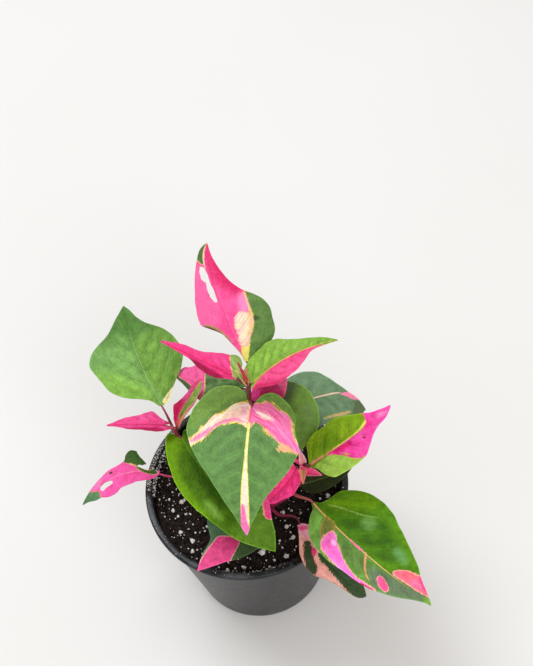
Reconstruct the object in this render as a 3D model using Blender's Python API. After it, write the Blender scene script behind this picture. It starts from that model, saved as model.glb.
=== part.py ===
"""A potted alternanthera: a young plant with pink, cream and green leaves in a thin black nursery pot.

The origin is the centre of the pot's underside, +Z is up, and the plant shows its best side towards -Y.
Lengths below are in millimetres and angles in degrees. The meshes are made in metres.
"""

import math
from dataclasses import dataclass, field

import bmesh
import bpy
import numpy as np
from mathutils import Vector

MM = 0.001

# The pot, a thin nursery pot with a rolled rim
POT_HEIGHT = 88.0
POT_RIM_RADIUS = 50.0
POT_FOOT_RADIUS = 34.5
POT_WALL = 1.2
RIM_WIDTH = 3.4
RIM_DEPTH = 3.2
RIM_ROUND = 1.0
FOOT_BEVEL = 1.5
POT_SIDES = 48
DRAIN_HOLES = 6
DRAIN_RADIUS = 3.5
DRAIN_CIRCLE = 22.0

# The soil and its larger grains of perlite, as (x, y, size)
SOIL_TOP = 80.0
SOIL_SWELL = 1.6
SOIL_LUMPS = 0.55
SOIL_RINGS = 9
SOIL_PLAY = 0.5
GRAIN_LIFT = 0.2
PERLITE = (
    (1, -34, 3.4),
    (-33, 1, 2.6),
    (-38, -3, 2.2),
    (-26, -5, 2.2),
    (-36, -15, 2.2),
    (-31, -21, 2.6),
    (-32, -26, 2.2),
    (12, -39, 2.6),
    (17, -30, 2.6),
    (15, -24, 2.2),
    (-9, -40, 2.2),
    (38, -12, 2.6),
    (-12, 34, 2.6),
    (20, 33, 2.4),
)

# Small gap between neighbouring pieces
GAP = 0.3

# The stems, which stand in holes in the soil and swell at their nodes
STEM_FOOT = 60.0
STEM_SIDES = 8
STEM_PLAY = 1.0
NODE_SWELL = 0.5
NODE_WIDTH = 2.0


@dataclass
class Stem:
    """One shoot. It stands upright in the soil and then follows its points; nodes are heights."""

    points: tuple
    nodes: tuple
    radius: float
    tip_radius: float
    colour: tuple


STEMS = {
    "stem_centre": Stem(
        points=((0, -3, 82), (3, 0, 101), (8, 6, 130), (9, 8.2, 150), (9, 6.8, 167)),
        nodes=(92, 115, 133, 150),
        radius=2.3,
        tip_radius=1.3,
        colour=(0.16, 0.03, 0.04),
    ),
    "stem_left": Stem(
        points=((-21, 4, 82), (-23, 7, 96), (-26.5, 13, 115), (-28.3, 17, 126)),
        nodes=(89, 107),
        radius=2.0,
        tip_radius=1.2,
        colour=(0.20, 0.04, 0.05),
    ),
    "stem_right": Stem(
        points=((6, -12.5, 82), (10.5, -14.5, 89), (18, -16, 98), (25, -15.5, 111), (27.6, -14.3, 122)),
        nodes=(87, 101),
        radius=2.1,
        tip_radius=1.2,
        colour=(0.35, 0.02, 0.08),
    ),
}

# The leaf blades, which are thicker than life, and their stalks
BLADE = 0.8
RIB_DEPTH = 0.7
STALK_RADIUS = 1.0
STALK_SIDES = 6
STALK_SUNK = 5.0
STALK_RISE = 35.0
STALK_FLARE = 1.15
STALK_TAPER = 0.65
STALK_LEAD = 0.25
LONG_STALK = 8.0
BASE_HALF = 1.0
TIP_HALF = 0.5
RIB_STEPS = 40
ROW_LEAD = 1.5
VEIN_SWEEP = 1.25
CURL_REACH = 20.0
SIDE_SHIFT = 0.3
KEEL_TAPER = 0.7
CUTTER_REACH = 4.0
LARGE_LEAF = 40.0
LARGE_ROWS = 11
LARGE_COLUMNS = (-1, -0.66, -0.33, -0.07, 0, 0.07, 0.33, 0.66, 1)
SMALL_ROWS = 8
SMALL_COLUMNS = (-1, -0.55, -0.12, 0, 0.12, 0.55, 1)

# The unopened leaflets at the tips
BUD_BLADE = 0.7
BUD_RIB = 0.5
BUD_FOLD = 32
BUD_ROWS = 4
BUD_COLUMNS = (-1, -0.4, 0, 0.4, 1)
BUD_SUNK = 0.5

GREEN = (0.10, 0.24, 0.05)
PALE_GREEN = (0.24, 0.42, 0.09)
DARK_GREEN = (0.04, 0.10, 0.03)
PINK = (0.85, 0.10, 0.28)


@dataclass
class Leaf:
    """One leaf of a stem.

    node is the height on the stem where its stalk leaves, and at is where its blade begins. heading is the
    direction of the midrib seen from above and pitch is its rise, both at the blade's base and tip. left and
    right are the two half outlines, as (along, across) points on the flattened blade, looking from its base
    to its tip. fold lifts each half like the arms of a V, curl bends it further for every 20 mm, roll lifts
    the right side, and wave is the height, number and phase of the waves of the edge.
    """

    stem: str
    node: float
    at: tuple
    heading: tuple
    pitch: tuple
    length: float
    left: tuple
    right: tuple
    fold: tuple = (8, 8)
    curl: tuple = (0, 0)
    roll: tuple = (0, 0)
    wave: tuple = (0.5, 2.5, 0.0)
    colour: tuple = GREEN
    slits: tuple = field(default=())


LEAVES = {
    "leaf_top_back": Leaf(
        stem="stem_centre",
        node=151,
        at=(11, 15, 172),
        heading=(110, 85),
        pitch=(45, -12),
        length=62,
        left=((7, 1.5), (13, 4), (20, 11), (28, 12), (38, 9), (50, 6), (58, 3)),
        right=((1, 5), (3, 13), (9, 18), (17, 19), (26, 15), (38, 6), (50, 2)),
        fold=(12, 12),
        roll=(-6, -6),
        colour=PINK,
        slits=(
            ((47.5, 5), (44, 2.7), (36.5, 2), (29.5, 1.5), (30, 3.5), (35.5, 4.5), (38.5, 4), (41, 6), (44.5, 5)),
        ),
    ),
    "leaf_crown_left": Leaf(
        stem="stem_centre",
        node=165,
        at=(5, 10, 168),
        heading=(151, 134),
        pitch=(28, -8),
        length=39,
        left=((3, 4), (8, 7), (14, 5), (25, 2.5)),
        right=((1, 6), (4, 9), (11, 6.5), (22, 4), (31, 2)),
        fold=(28, 28),
        colour=PINK,
    ),
    "leaf_crown_right": Leaf(
        stem="stem_centre",
        node=165,
        at=(13.3, 4.4, 168.8),
        heading=(14, 5),
        pitch=(38, -15),
        length=44,
        left=((3, 6), (6, 10), (12, 11.5), (18, 10), (30, 5), (39, 3)),
        right=((3, 5), (8, 10), (15, 13), (21, 10), (28, 4), (36, 1.5)),
        fold=(18, 18),
        curl=(-12, -12),
        colour=PINK,
    ),
    "leaf_front_heart": Leaf(
        stem="stem_centre",
        node=151,
        at=(9, 2.6, 152),
        heading=(-108, -102),
        pitch=(10, -62),
        length=60,
        left=((-4, 4), (-8.5, 9), (-6, 15), (3, 20), (12, 21), (20, 23), (28, 20), (42, 9), (53, 3)),
        right=((-4.5, 4.4), (-11.5, 10), (-11, 17), (-4, 24), (3, 27), (13, 28), (22, 24), (36, 14), (50, 5)),
        curl=(-18, -18),
    ),
    "leaf_back_left": Leaf(
        stem="stem_centre",
        node=134,
        at=(5, 23.5, 137.5),
        heading=(170, 123),
        pitch=(10, -25),
        length=34,
        left=((1, 4), (6, 10), (12, 11), (19, 6), (26, 3)),
        right=((1, 5), (10, 9), (19, 8), (26, 4)),
        colour=PINK,
    ),
    "leaf_shaded_small": Leaf(
        stem="stem_centre",
        node=138,
        at=(12, 13, 140.5),
        heading=(9, 28),
        pitch=(35, 0),
        length=22,
        left=((0, 3), (4, 7), (9, 8), (15, 6.5)),
        right=((3, 4.5), (8, 8), (13, 8), (18, 4)),
        fold=(12, 12),
        colour=PINK,
    ),
    "leaf_right_round": Leaf(
        stem="stem_centre",
        node=128,
        at=(15.5, 12.5, 131.5),
        heading=(-47, -70),
        pitch=(5, -40),
        length=26,
        left=((-4, 6), (-4, 12), (-1, 17), (5, 19), (13, 19), (21, 14)),
        right=((1, 3.5), (6, 8), (15, 10), (22, 6)),
        colour=DARK_GREEN,
    ),
    "leaf_right_back": Leaf(
        stem="stem_centre",
        node=115,
        at=(18, 19, 118),
        heading=(20, -26),
        pitch=(14, -46),
        length=52,
        left=((6, 8), (12, 11), (19, 13), (30, 11), (38, 6.5), (46, 3)),
        right=((-1, 5), (3, 13), (12, 17), (22, 16), (33, 13), (44, 8)),
        fold=(10, 10),
    ),
    "leaf_left_back": Leaf(
        stem="stem_left",
        node=119,
        at=(-32, 28, 130),
        heading=(111, 90),
        pitch=(30, -5),
        length=56,
        left=((3, 5), (7, 11), (13, 17), (20, 22), (28, 23), (37, 17), (46, 8)),
        right=((1, 5), (6, 11), (14, 17), (21, 20), (31, 18), (40, 10), (49, 4)),
        fold=(10, 10),
        curl=(-10, -10),
        colour=PALE_GREEN,
    ),
    "leaf_under_heart": Leaf(
        stem="stem_left",
        node=120,
        at=(-25.5, 12, 121.5),
        heading=(-74, -48),
        pitch=(8, -32),
        length=71,
        left=((2, 7), (8, 15), (20, 20), (36, 19), (53, 13), (64, 5.5)),
        right=((-3, 3), (3, 8), (11, 12), (25, 13), (42, 12), (54, 9.5), (64, 4.5)),
        fold=(12, 12),
        curl=(-14, -14),
    ),
    "leaf_left_small": Leaf(
        stem="stem_left",
        node=125,
        at=(-33, 18.8, 126.5),
        heading=(176, 162),
        pitch=(20, -12),
        length=27,
        left=((4, 5), (10, 5), (18, 3.5)),
        right=((3, 3.5), (8, 5.5), (15, 4.5), (21, 2.5)),
        fold=(30, 30),
        colour=PINK,
    ),
    "leaf_left_upright": Leaf(
        stem="stem_left",
        node=125,
        at=(-24, 18.8, 129.8),
        heading=(31, 37),
        pitch=(62, 30),
        length=26,
        left=((4, 4), (10, 3.5), (18, 2)),
        right=((4, 6), (10, 9), (16, 7), (22, 4)),
        fold=(35, 35),
        colour=PINK,
    ),
    "leaf_left_low": Leaf(
        stem="stem_left",
        node=89,
        at=(-41, 12, 94),
        heading=(160, 220),
        pitch=(18, -28),
        length=43,
        left=((4, 4), (9, 7), (17, 7), (24, 8), (31, 7), (39, 3.5)),
        right=((1, 3.2), (5, 7), (9.5, 10), (14, 10.5), (19, 6), (27, 4), (35, 2)),
        colour=PINK,
        slits=(
            ((32.5, 2), (28.5, 0.5), (24.5, 0.5), (23.5, 2.5), (28.5, 3)),
            ((0, -9), (1.5, -1.9), (6, -1.1), (8.3, -1.8), (11, -3.3), (8.4, -3.1), (6.4, -3.9), (6.6, -9)),
        ),
    ),
    "leaf_right_upper": Leaf(
        stem="stem_right",
        node=122,
        at=(30.5, -17.5, 126),
        heading=(6, 34),
        pitch=(35, -5),
        length=47,
        left=((3, 4.5), (6, 9), (12, 12), (20, 12), (28, 9.5), (36, 5), (43, 2)),
        right=((2, 4), (7, 10), (14, 14), (21, 14), (27, 10), (33, 5.5), (41, 2)),
        fold=(14, 14),
        curl=(-8, -8),
        colour=PALE_GREEN,
    ),
    "leaf_right_puckered": Leaf(
        stem="stem_right",
        node=115.5,
        at=(23.5, -15.8, 117),
        heading=(-128, -178),
        pitch=(-5, -45),
        length=24,
        left=((2, 3), (5, 6), (9, 7.5), (14, 6), (19, 3)),
        right=((-2, 3), (1, 5), (7, 5), (15, 5), (20, 3)),
        wave=(1.0, 3.0, 0.3),
        colour=PINK,
    ),
    "leaf_right_low": Leaf(
        stem="stem_right",
        node=101,
        at=(26, -12, 98),
        heading=(-3, 19),
        pitch=(10, -10),
        length=26,
        left=((3, 3.5), (10, 6), (17, 5.5)),
        right=((1, 4), (6, 7), (13, 6), (20, 3.5)),
        colour=DARK_GREEN,
    ),
    "leaf_front_right": Leaf(
        stem="stem_right",
        node=101,
        at=(29, -26, 104),
        heading=(-68, -38),
        pitch=(16, -34),
        length=74,
        left=((1, 4), (2, 8), (6, 15), (12, 21), (22, 24), (32, 23), (42, 19), (52, 13), (62, 6)),
        right=((3, 4), (8, 9), (15, 13), (23, 14), (38, 13), (48, 11), (58, 7)),
        fold=(12, 12),
        curl=(-10, -10),
    ),
    "leaf_front_right_low": Leaf(
        stem="stem_right",
        node=87,
        at=(21, -30, 93),
        heading=(-78, -33),
        pitch=(8, -45),
        length=48,
        left=((3, 4), (12, 8), (26, 8), (38, 5)),
        right=((6, 3.5), (13, 7), (19, 9.5), (27, 7), (37, 4)),
        fold=(10, 10),
        colour=PINK,
    ),
    "leaf_front_low": Leaf(
        stem="stem_right",
        node=87,
        at=(4, -17.5, 92),
        heading=(-148, -139),
        pitch=(14, -8),
        length=43,
        left=((2, 7), (9, 14), (16, 16), (25, 13.5), (31, 9), (37, 5)),
        right=((2, 6), (9, 13), (16, 16), (21, 14), (25, 9), (28, 5), (36, 3)),
        colour=PINK,
    ),
}

# Small unopened leaflets at the stems' tips, as (stem, height, heading, pitch, length, half width)
LEAFLETS = (
    ("stem_centre", 166.5, 112, 76, 14, 1.6),
    ("stem_centre", 166.5, 92, 62, 11, 2.4),
    ("stem_centre", 166.5, 70, 74, 9, 1.6),
    ("stem_left", 125.5, 230, 65, 4, 1.4),
    ("stem_right", 121.5, 95, 70, 8, 1.9),
    ("stem_right", 121.5, 160, 50, 6, 1.8),
    ("stem_right", 119.0, -105, -4, 8, 2.2),
    ("stem_right", 116.5, -22, -4, 9, 2.8),
)


def clear_scene():
    for obj in list(bpy.data.objects):
        bpy.data.objects.remove(obj, do_unlink=True)


def material(name, colour, roughness):
    found = bpy.data.materials.get(name)
    if found:
        return found
    made = bpy.data.materials.new(name)
    made.use_nodes = True
    shader = made.node_tree.nodes["Principled BSDF"]
    shader.inputs["Base Color"].default_value = (*colour, 1.0)
    shader.inputs["Roughness"].default_value = roughness
    shader.inputs["Metallic"].default_value = 0.0
    return made


def make_object(name, points, faces):
    """An object from points in millimetres and faces as lists of indices."""
    mesh = bpy.data.meshes.new(name)
    mesh.from_pydata([Vector(p) * MM for p in points], [], faces)
    work = bmesh.new()
    work.from_mesh(mesh)
    bmesh.ops.recalc_face_normals(work, faces=work.faces)
    bmesh.ops.triangulate(work, faces=work.faces)
    work.to_mesh(mesh)
    work.free()
    obj = bpy.data.objects.new(name, mesh)
    bpy.context.scene.collection.objects.link(obj)
    return obj


def combine(obj, others, operation):
    """Joins the other solids to the object, or cuts them from it, and removes them."""
    group = bpy.data.collections.new("operands")
    bpy.context.scene.collection.children.link(group)
    for other in others:
        bpy.context.scene.collection.objects.unlink(other)
        group.objects.link(other)
    boolean = obj.modifiers.new("Combine", "BOOLEAN")
    boolean.operation = operation
    boolean.operand_type = "COLLECTION"
    boolean.collection = group
    boolean.solver = "EXACT"
    bpy.context.view_layer.update()
    graph = bpy.context.evaluated_depsgraph_get()
    result = bpy.data.meshes.new_from_object(obj.evaluated_get(graph))
    obj.modifiers.clear()
    obj.data = result
    for other in others:
        bpy.data.objects.remove(other, do_unlink=True)
    bpy.data.collections.remove(group)


def finish(obj, name, shader):
    obj.name = name
    obj.data.name = name
    obj.data.materials.clear()
    obj.data.materials.append(shader)
    obj.data.shade_smooth()
    obj.data.set_sharp_from_angle(angle=math.radians(40))


def smooth_line(points, steps=16):
    """A smooth line through points of any dimension, as centripetal Catmull-Rom pieces."""
    p = np.array(points, float)
    p = np.vstack([2 * p[0] - p[1], p, 2 * p[-1] - p[-2]])
    line = []
    for i in range(1, len(p) - 2):
        a, b, c, d = p[i - 1 : i + 3]
        ta, tb, tc = (max(np.linalg.norm(v), 1e-6) ** 0.5 for v in (b - a, c - b, d - c))
        slope_b = (b - a) / ta - (c - a) / (ta + tb) + (c - b) / tb
        slope_c = (c - b) / tb - (d - b) / (tb + tc) + (d - c) / tc
        for u in np.arange(steps) / steps:
            line.append(
                (2 * u**3 - 3 * u**2 + 1) * b
                + (u**3 - 2 * u**2 + u) * tb * slope_b
                + (3 * u**2 - 2 * u**3) * c
                + (u**3 - u**2) * tb * slope_c
            )
    line.append(p[-2])
    return np.array(line)


def along_line(line, at):
    """Points of a line at the given fractions of its length."""
    reach = np.concatenate([[0.0], np.cumsum(np.linalg.norm(np.diff(line, axis=0), axis=1))])
    return np.stack([np.interp(at, reach / reach[-1], line[:, k]) for k in range(line.shape[1])], axis=-1)


def midrib(leaf, along):
    """Place, forward, right and up on the leaf's midrib, at distances from the blade's base."""
    share = np.linspace(0, 1, RIB_STEPS + 1)
    turn = np.radians(leaf.heading[0] + (leaf.heading[1] - leaf.heading[0]) * share)
    rise = np.radians(leaf.pitch[0] + (leaf.pitch[1] - leaf.pitch[0]) * share)
    forward = np.stack([np.cos(rise) * np.cos(turn), np.cos(rise) * np.sin(turn), np.sin(rise)], axis=-1)
    moves = (forward[1:] + forward[:-1]) / 2 * leaf.length / RIB_STEPS
    places = np.array(leaf.at, float) + np.vstack([np.zeros(3), np.cumsum(moves, axis=0)])
    inside = np.clip(along, 0, leaf.length)
    step = inside / leaf.length

    def read(values):
        return np.stack([np.interp(step, share, values[:, k]) for k in range(3)], axis=-1)

    place, ahead = read(places), read(forward)
    ahead /= np.linalg.norm(ahead, axis=-1, keepdims=True)
    side = np.cross(ahead, (0, 0, 1))
    side /= np.linalg.norm(side, axis=-1, keepdims=True)
    up = np.cross(side, ahead)
    roll = np.radians(leaf.roll[0] + (leaf.roll[1] - leaf.roll[0]) * step)[..., None]
    side, up = side * np.cos(roll) + up * np.sin(roll), up * np.cos(roll) - side * np.sin(roll)
    return place + ahead * (along - inside)[..., None], ahead, side, up


def blade_point(leaf, along, across):
    """The upper surface over flattened coordinates, the up direction there, and the slope from it."""
    place, _, side, up = midrib(leaf, along)
    right = across > 0
    reach = np.abs(across)
    fold = np.radians(np.where(right, leaf.fold[1], leaf.fold[0]))
    bend = np.radians(np.where(right, leaf.curl[1], leaf.curl[0])) / CURL_REACH
    slope = fold + bend * reach
    middle = fold + bend * reach / 2
    out = reach * np.cos(middle) * np.where(right, 1, -1)
    return place + side * out[..., None] + up * (reach * np.sin(middle))[..., None], up, slope


def half_outline(leaf, half):
    """One half of the blade's outline as a smooth line of (along, across) points.

    It starts a little to the side of the midrib, turned back so that rows fan out around a heart-shaped base.
    """
    angle = (math.atan2(half[0][1], half[0][0]) + math.pi) / 2
    start = (BASE_HALF * math.cos(angle), BASE_HALF * math.sin(angle))
    return smooth_line((start, *half, (leaf.length, TIP_HALF)))


def blade_surface(leaf, share, spread):
    """Points of the upper surface, the up directions and the slopes, over rows and columns.

    share runs from 0 at the base to 1 at the tip and spread from -1 at the left edge to 1 at the right
    edge. The rows leave the midrib and sweep forward to the edge, as the veins do.
    """
    share, spread = np.meshgrid(share, spread, indexing="ij")
    start = share**ROW_LEAD * leaf.length
    reach = np.abs(spread)
    along = np.zeros_like(share)
    across = np.zeros_like(share)
    for side, half in ((-1, leaf.left), (1, leaf.right)):
        edge = along_line(half_outline(leaf, half), share)
        swept = start + (edge[..., 0] - start) * reach**VEIN_SWEEP
        on_side = spread * side > 0 if side > 0 else spread <= 0
        along[on_side] = swept[on_side]
        across[on_side] = (edge[..., 1] * spread)[on_side]
    point, up, slope = blade_point(leaf, along, across)
    height, count, phase = leaf.wave
    turns = count * share + phase + SIDE_SHIFT * (spread > 0)
    wave = height * np.sin(2 * math.pi * turns) * reach**2
    fade = np.sin(math.pi * share)
    return point + up * (wave * fade)[..., None], up, slope


def sheet(upper, lower):
    """A closed solid between two grids of points, with both split into triangles alike."""
    rows, columns = upper.shape[:2]
    points = np.concatenate([upper.reshape(-1, 3), lower.reshape(-1, 3)])
    below = rows * columns
    faces = []
    for i in range(rows - 1):
        for j in range(columns - 1):
            a = i * columns + j
            b, c, d = a + 1, a + columns, a + columns + 1
            split = ((a, b, d), (a, d, c)) if j >= columns // 2 else ((a, b, c), (b, d, c))
            for x, y, z in split:
                faces.append((x, y, z))
                faces.append((z + below, y + below, x + below))
    round_edge = [i * columns for i in range(rows)]
    round_edge += [(rows - 1) * columns + j for j in range(1, columns)]
    round_edge += [i * columns + columns - 1 for i in range(rows - 2, -1, -1)]
    round_edge += list(range(columns - 2, 0, -1))
    for a, b in zip(round_edge, round_edge[1:] + round_edge[:1]):
        faces.append((a, b, b + below))
        faces.append((a, b + below, a + below))
    return points, faces


def blade(leaf, rows, spread, thickness=BLADE, rib=RIB_DEPTH):
    """The leaf blade as a thin solid, with the midrib standing out below it."""
    share = np.linspace(0, 1, rows + 1)
    upper, up, slope = blade_surface(leaf, share, np.array(spread, float))
    depth = thickness / np.cos(slope)
    keel = rib * (np.array(spread) == 0)[None, :] * (1 - KEEL_TAPER * share[:, None])
    lower = upper - up * (depth + keel)[..., None]
    return make_object("blade", *sheet(upper, lower))


def tube(line, radii, sides):
    """A closed tube along a line, with its own radius at each point."""
    line = np.array(line, float)
    ahead = np.gradient(line, axis=0)
    ahead /= np.linalg.norm(ahead, axis=1, keepdims=True)
    side = np.cross(ahead[0], (0.3, 1.0, 0.2))
    side /= np.linalg.norm(side)
    points = []
    for place, direction, radius in zip(line, ahead, radii):
        side = side - direction * (side @ direction)
        side /= np.linalg.norm(side)
        other = np.cross(direction, side)
        for k in range(sides):
            angle = 2 * math.pi * k / sides
            points.append(place + radius * (math.cos(angle) * side + math.sin(angle) * other))
    faces = []
    for i in range(len(line) - 1):
        for k in range(sides):
            a, b = i * sides + k, i * sides + (k + 1) % sides
            faces.append((a, b, b + sides, a + sides))
    faces.append(tuple(range(sides))[::-1])
    faces.append(tuple(range((len(line) - 1) * sides, len(line) * sides)))
    return make_object("tube", points, faces)


def stem_axis(stem, heights):
    """Points of the stem's axis at the given heights."""
    line = smooth_line(stem.points)
    return np.stack([np.interp(heights, line[:, 2], line[:, k]) for k in range(2)] + [heights], axis=-1)


def stem_radius(stem, heights):
    """The radius, which tapers to the tip and swells at each node."""
    share = np.clip((heights - SOIL_TOP) / (stem.points[-1][2] - SOIL_TOP), 0, 1)
    radius = stem.radius + (stem.tip_radius - stem.radius) * share
    for node in stem.nodes:
        radius = radius + NODE_SWELL * np.exp(-(((heights - node) / NODE_WIDTH) ** 2))
    return radius


def leaflet(stem, height, heading, pitch, length, half):
    """A small folded leaflet whose base lies inside the stem."""
    centre = stem_axis(stem, np.array([height]))[0]
    turn, rise = math.radians(heading), math.radians(pitch)
    ahead = np.array([math.cos(rise) * math.cos(turn), math.cos(rise) * math.sin(turn), math.sin(rise)])
    outline = ((0.3 * length, half), (0.6 * length, 0.75 * half))
    small = Leaf(
        stem="",
        node=0,
        at=tuple(centre - ahead * BUD_SUNK),
        heading=(heading, heading + 8),
        pitch=(pitch, pitch - 15),
        length=length,
        left=outline,
        right=outline,
        fold=(BUD_FOLD, BUD_FOLD),
        wave=(0, 1, 0),
    )
    return blade(small, BUD_ROWS, BUD_COLUMNS, thickness=BUD_BLADE, rib=BUD_RIB)


def make_stem(name, stem):
    top = stem.points[-1][2]
    step = 1.5 * NODE_WIDTH
    heights = {STEM_FOOT, SOIL_TOP - step, SOIL_TOP + step, top - step, top}
    for node in stem.nodes:
        heights |= {node - step, node, node + step}
    heights = np.array(sorted(heights), float)
    line = stem_axis(stem, heights)
    obj = tube(line, stem_radius(stem, heights), STEM_SIDES)
    leaflets = [leaflet(stem, *values) for owner, *values in LEAFLETS if owner == name]
    combine(obj, leaflets, "UNION")
    finish(obj, name, material(name, stem.colour, 0.45))


def make_stalk(leaf):
    """The leaf stalk, from just outside the stem into the base of the blade."""
    stem = STEMS[leaf.stem]
    below, axis, above = stem_axis(stem, leaf.node + np.array([-0.5, 0.0, 0.5]))
    thick = float(stem_radius(stem, np.array([leaf.node]))[0])
    grows = (above - below) / np.linalg.norm(above - below)
    base = np.array(leaf.at, float)
    _, ahead, _, up = (v[0] for v in midrib(leaf, np.array([0.0])))
    outward = base - axis - grows * ((base - axis) @ grows)
    outward /= np.linalg.norm(outward)
    rise = math.radians(STALK_RISE)
    leaving = outward * math.cos(rise) + grows * math.sin(rise)
    start = axis + outward * (thick + GAP + STALK_FLARE * STALK_RADIUS * math.sin(rise))
    span = float(np.linalg.norm(base - start))
    sunk = min(STALK_SUNK, 0.2 * leaf.length)
    blade_middle = up * BLADE / 2
    line = smooth_line(
        (
            start,
            start + leaving * STALK_LEAD * span,
            base - ahead * STALK_LEAD * span - blade_middle,
            base + ahead * STALK_LEAD * sunk - blade_middle,
            midrib(leaf, np.array([sunk]))[0][0] - blade_middle,
        )
    )
    share = np.linspace(0, 1, 7 if span > LONG_STALK else 5)
    radii = STALK_RADIUS * (STALK_FLARE - STALK_TAPER * share)
    return tube(along_line(line, share), radii, STALK_SIDES)


def make_slit(leaf, outline):
    """A cutter through the blade, over an outline in its flattened coordinates. Left is positive here."""
    flat = np.array(outline, float)
    point, up, _ = blade_point(leaf, flat[:, 0], -flat[:, 1])
    count = len(flat)
    points = np.concatenate([point + up * CUTTER_REACH, point - up * CUTTER_REACH])
    faces = [tuple(range(count)), tuple(range(2 * count - 1, count - 1, -1))]
    for k in range(count):
        after = (k + 1) % count
        faces.append((k, k + count, after + count, after))
    return make_object("slit", points, faces)


def make_leaf(name, leaf):
    if leaf.length >= LARGE_LEAF:
        obj = blade(leaf, LARGE_ROWS, LARGE_COLUMNS)
    else:
        obj = blade(leaf, SMALL_ROWS, SMALL_COLUMNS)
    combine(obj, [make_stalk(leaf)], "UNION")
    if leaf.slits:
        combine(obj, [make_slit(leaf, outline) for outline in leaf.slits], "DIFFERENCE")
    finish(obj, name, material(name, leaf.colour, 0.42))


def lathe(profile, sides):
    """A closed solid turned from a profile of (radius, height) points, whose ends lie on the axis."""
    points = [(0, 0, profile[0][1])]
    faces = []
    for radius, height in profile[1:-1]:
        for k in range(sides):
            angle = 2 * math.pi * k / sides
            points.append((radius * math.cos(angle), radius * math.sin(angle), height))
    points.append((0, 0, profile[-1][1]))
    rings = len(profile) - 2
    last = len(points) - 1
    for k in range(sides):
        after = (k + 1) % sides
        faces.append((0, 1 + after, 1 + k))
        for i in range(rings - 1):
            a, b = 1 + i * sides + k, 1 + i * sides + after
            faces.append((a, b, b + sides, a + sides))
        faces.append((last, 1 + (rings - 1) * sides + k, 1 + (rings - 1) * sides + after))
    return make_object("lathe", points, faces)


def wall_radius(height):
    """The radius of the pot's outer wall, under its rim, at a height."""
    top = POT_RIM_RADIUS - RIM_WIDTH + POT_WALL
    return POT_FOOT_RADIUS + (top - POT_FOOT_RADIUS) * height / (POT_HEIGHT - RIM_DEPTH)


def upright(x, y, low, high, radius, sides=12):
    return tube(((x, y, low), (x, y, (low + high) / 2), (x, y, high)), (radius,) * 3, sides)


def make_pot():
    under_rim = POT_HEIGHT - RIM_DEPTH
    outer, inner = POT_RIM_RADIUS, POT_RIM_RADIUS - RIM_WIDTH
    profile = (
        (0, 0),
        (POT_FOOT_RADIUS - FOOT_BEVEL, 0),
        (wall_radius(FOOT_BEVEL), FOOT_BEVEL),
        (wall_radius(under_rim), under_rim),
        (outer - RIM_ROUND, under_rim + 0.2 * RIM_ROUND),
        (outer, under_rim + RIM_ROUND),
        (outer, POT_HEIGHT - RIM_ROUND),
        (outer - RIM_ROUND, POT_HEIGHT - 0.1 * RIM_ROUND),
        (inner + RIM_ROUND, POT_HEIGHT),
        (inner + 0.3 * RIM_ROUND, POT_HEIGHT - 0.7 * RIM_ROUND),
        (inner, under_rim),
        (wall_radius(POT_WALL) - POT_WALL, POT_WALL),
        (0, POT_WALL),
    )
    obj = lathe(profile, POT_SIDES)
    holes = []
    for k in range(DRAIN_HOLES):
        angle = 2 * math.pi * (k + 0.5) / DRAIN_HOLES
        x, y = DRAIN_CIRCLE * math.cos(angle), DRAIN_CIRCLE * math.sin(angle)
        holes.append(upright(x, y, -POT_WALL, 2 * POT_WALL, DRAIN_RADIUS))
    combine(obj, holes, "DIFFERENCE")
    finish(obj, "pot", material("pot", (0.018, 0.019, 0.022), 0.38))


def soil_height(x, y):
    """The soil's surface: a low swell with small lumps, about 20 mm and 9 mm across."""
    swell = SOIL_SWELL * math.cos(math.pi * min(1.0, math.hypot(x, y) / POT_RIM_RADIUS) / 2)
    broad = math.sin(0.31 * x + 1.0) * math.cos(0.27 * y)
    narrow = math.sin(0.53 * x - 0.47 * y + 2.0)
    return SOIL_TOP - 1.0 + swell + SOIL_LUMPS * (broad + 0.7 * narrow)


def make_grain(x, y, size):
    """One grain of perlite, a little more than half of it above the soil."""
    work = bmesh.new()
    bmesh.ops.create_icosphere(work, subdivisions=1, radius=size / 2 * MM)
    centre = Vector((x, y, soil_height(x, y) + GRAIN_LIFT * size)) * MM
    bmesh.ops.translate(work, verts=work.verts, vec=centre)
    mesh = bpy.data.meshes.new("grain")
    work.to_mesh(mesh)
    work.free()
    obj = bpy.data.objects.new("grain", mesh)
    bpy.context.scene.collection.objects.link(obj)
    return obj


def make_soil():
    floor = POT_WALL + GAP
    top_radius = wall_radius(SOIL_TOP) - POT_WALL - SOIL_PLAY
    profile = [(0, floor), (wall_radius(floor) - POT_WALL - SOIL_PLAY, floor)]
    for k in range(SOIL_RINGS):
        profile.append((top_radius * (1 - k / SOIL_RINGS), SOIL_TOP))
    profile.append((0, SOIL_TOP))
    obj = lathe(profile, POT_SIDES)
    for vertex in obj.data.vertices:
        if vertex.co.z > (SOIL_TOP - 1) * MM:
            vertex.co.z = soil_height(vertex.co.x / MM, vertex.co.y / MM) * MM
    combine(obj, [make_grain(*values) for values in PERLITE], "UNION")
    holes = []
    for stem in STEMS.values():
        x, y = stem.points[0][:2]
        above = SOIL_TOP + 4 * SOIL_SWELL
        holes.append(upright(x, y, STEM_FOOT - GAP, above, stem.radius + STEM_PLAY))
    combine(obj, holes, "DIFFERENCE")
    finish(obj, "soil", material("soil", (0.022, 0.014, 0.011), 0.95))


def build():
    clear_scene()
    make_pot()
    make_soil()
    for name, stem in STEMS.items():
        make_stem(name, stem)
    for name, leaf in LEAVES.items():
        make_leaf(name, leaf)


build()
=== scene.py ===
"""The finish of a potted alternanthera: soft satin leaves in pink, cream and green, in a thin black pot.

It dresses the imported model. Lengths are in millimetres and angles in degrees, until a mesh is made, in
metres. The scatters work on such meshes, so their sizes are in metres too. The plant's colours are as a
colour picker gives them, from 0 to 255, until a material is made.
"""

import math
from dataclasses import dataclass

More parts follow.
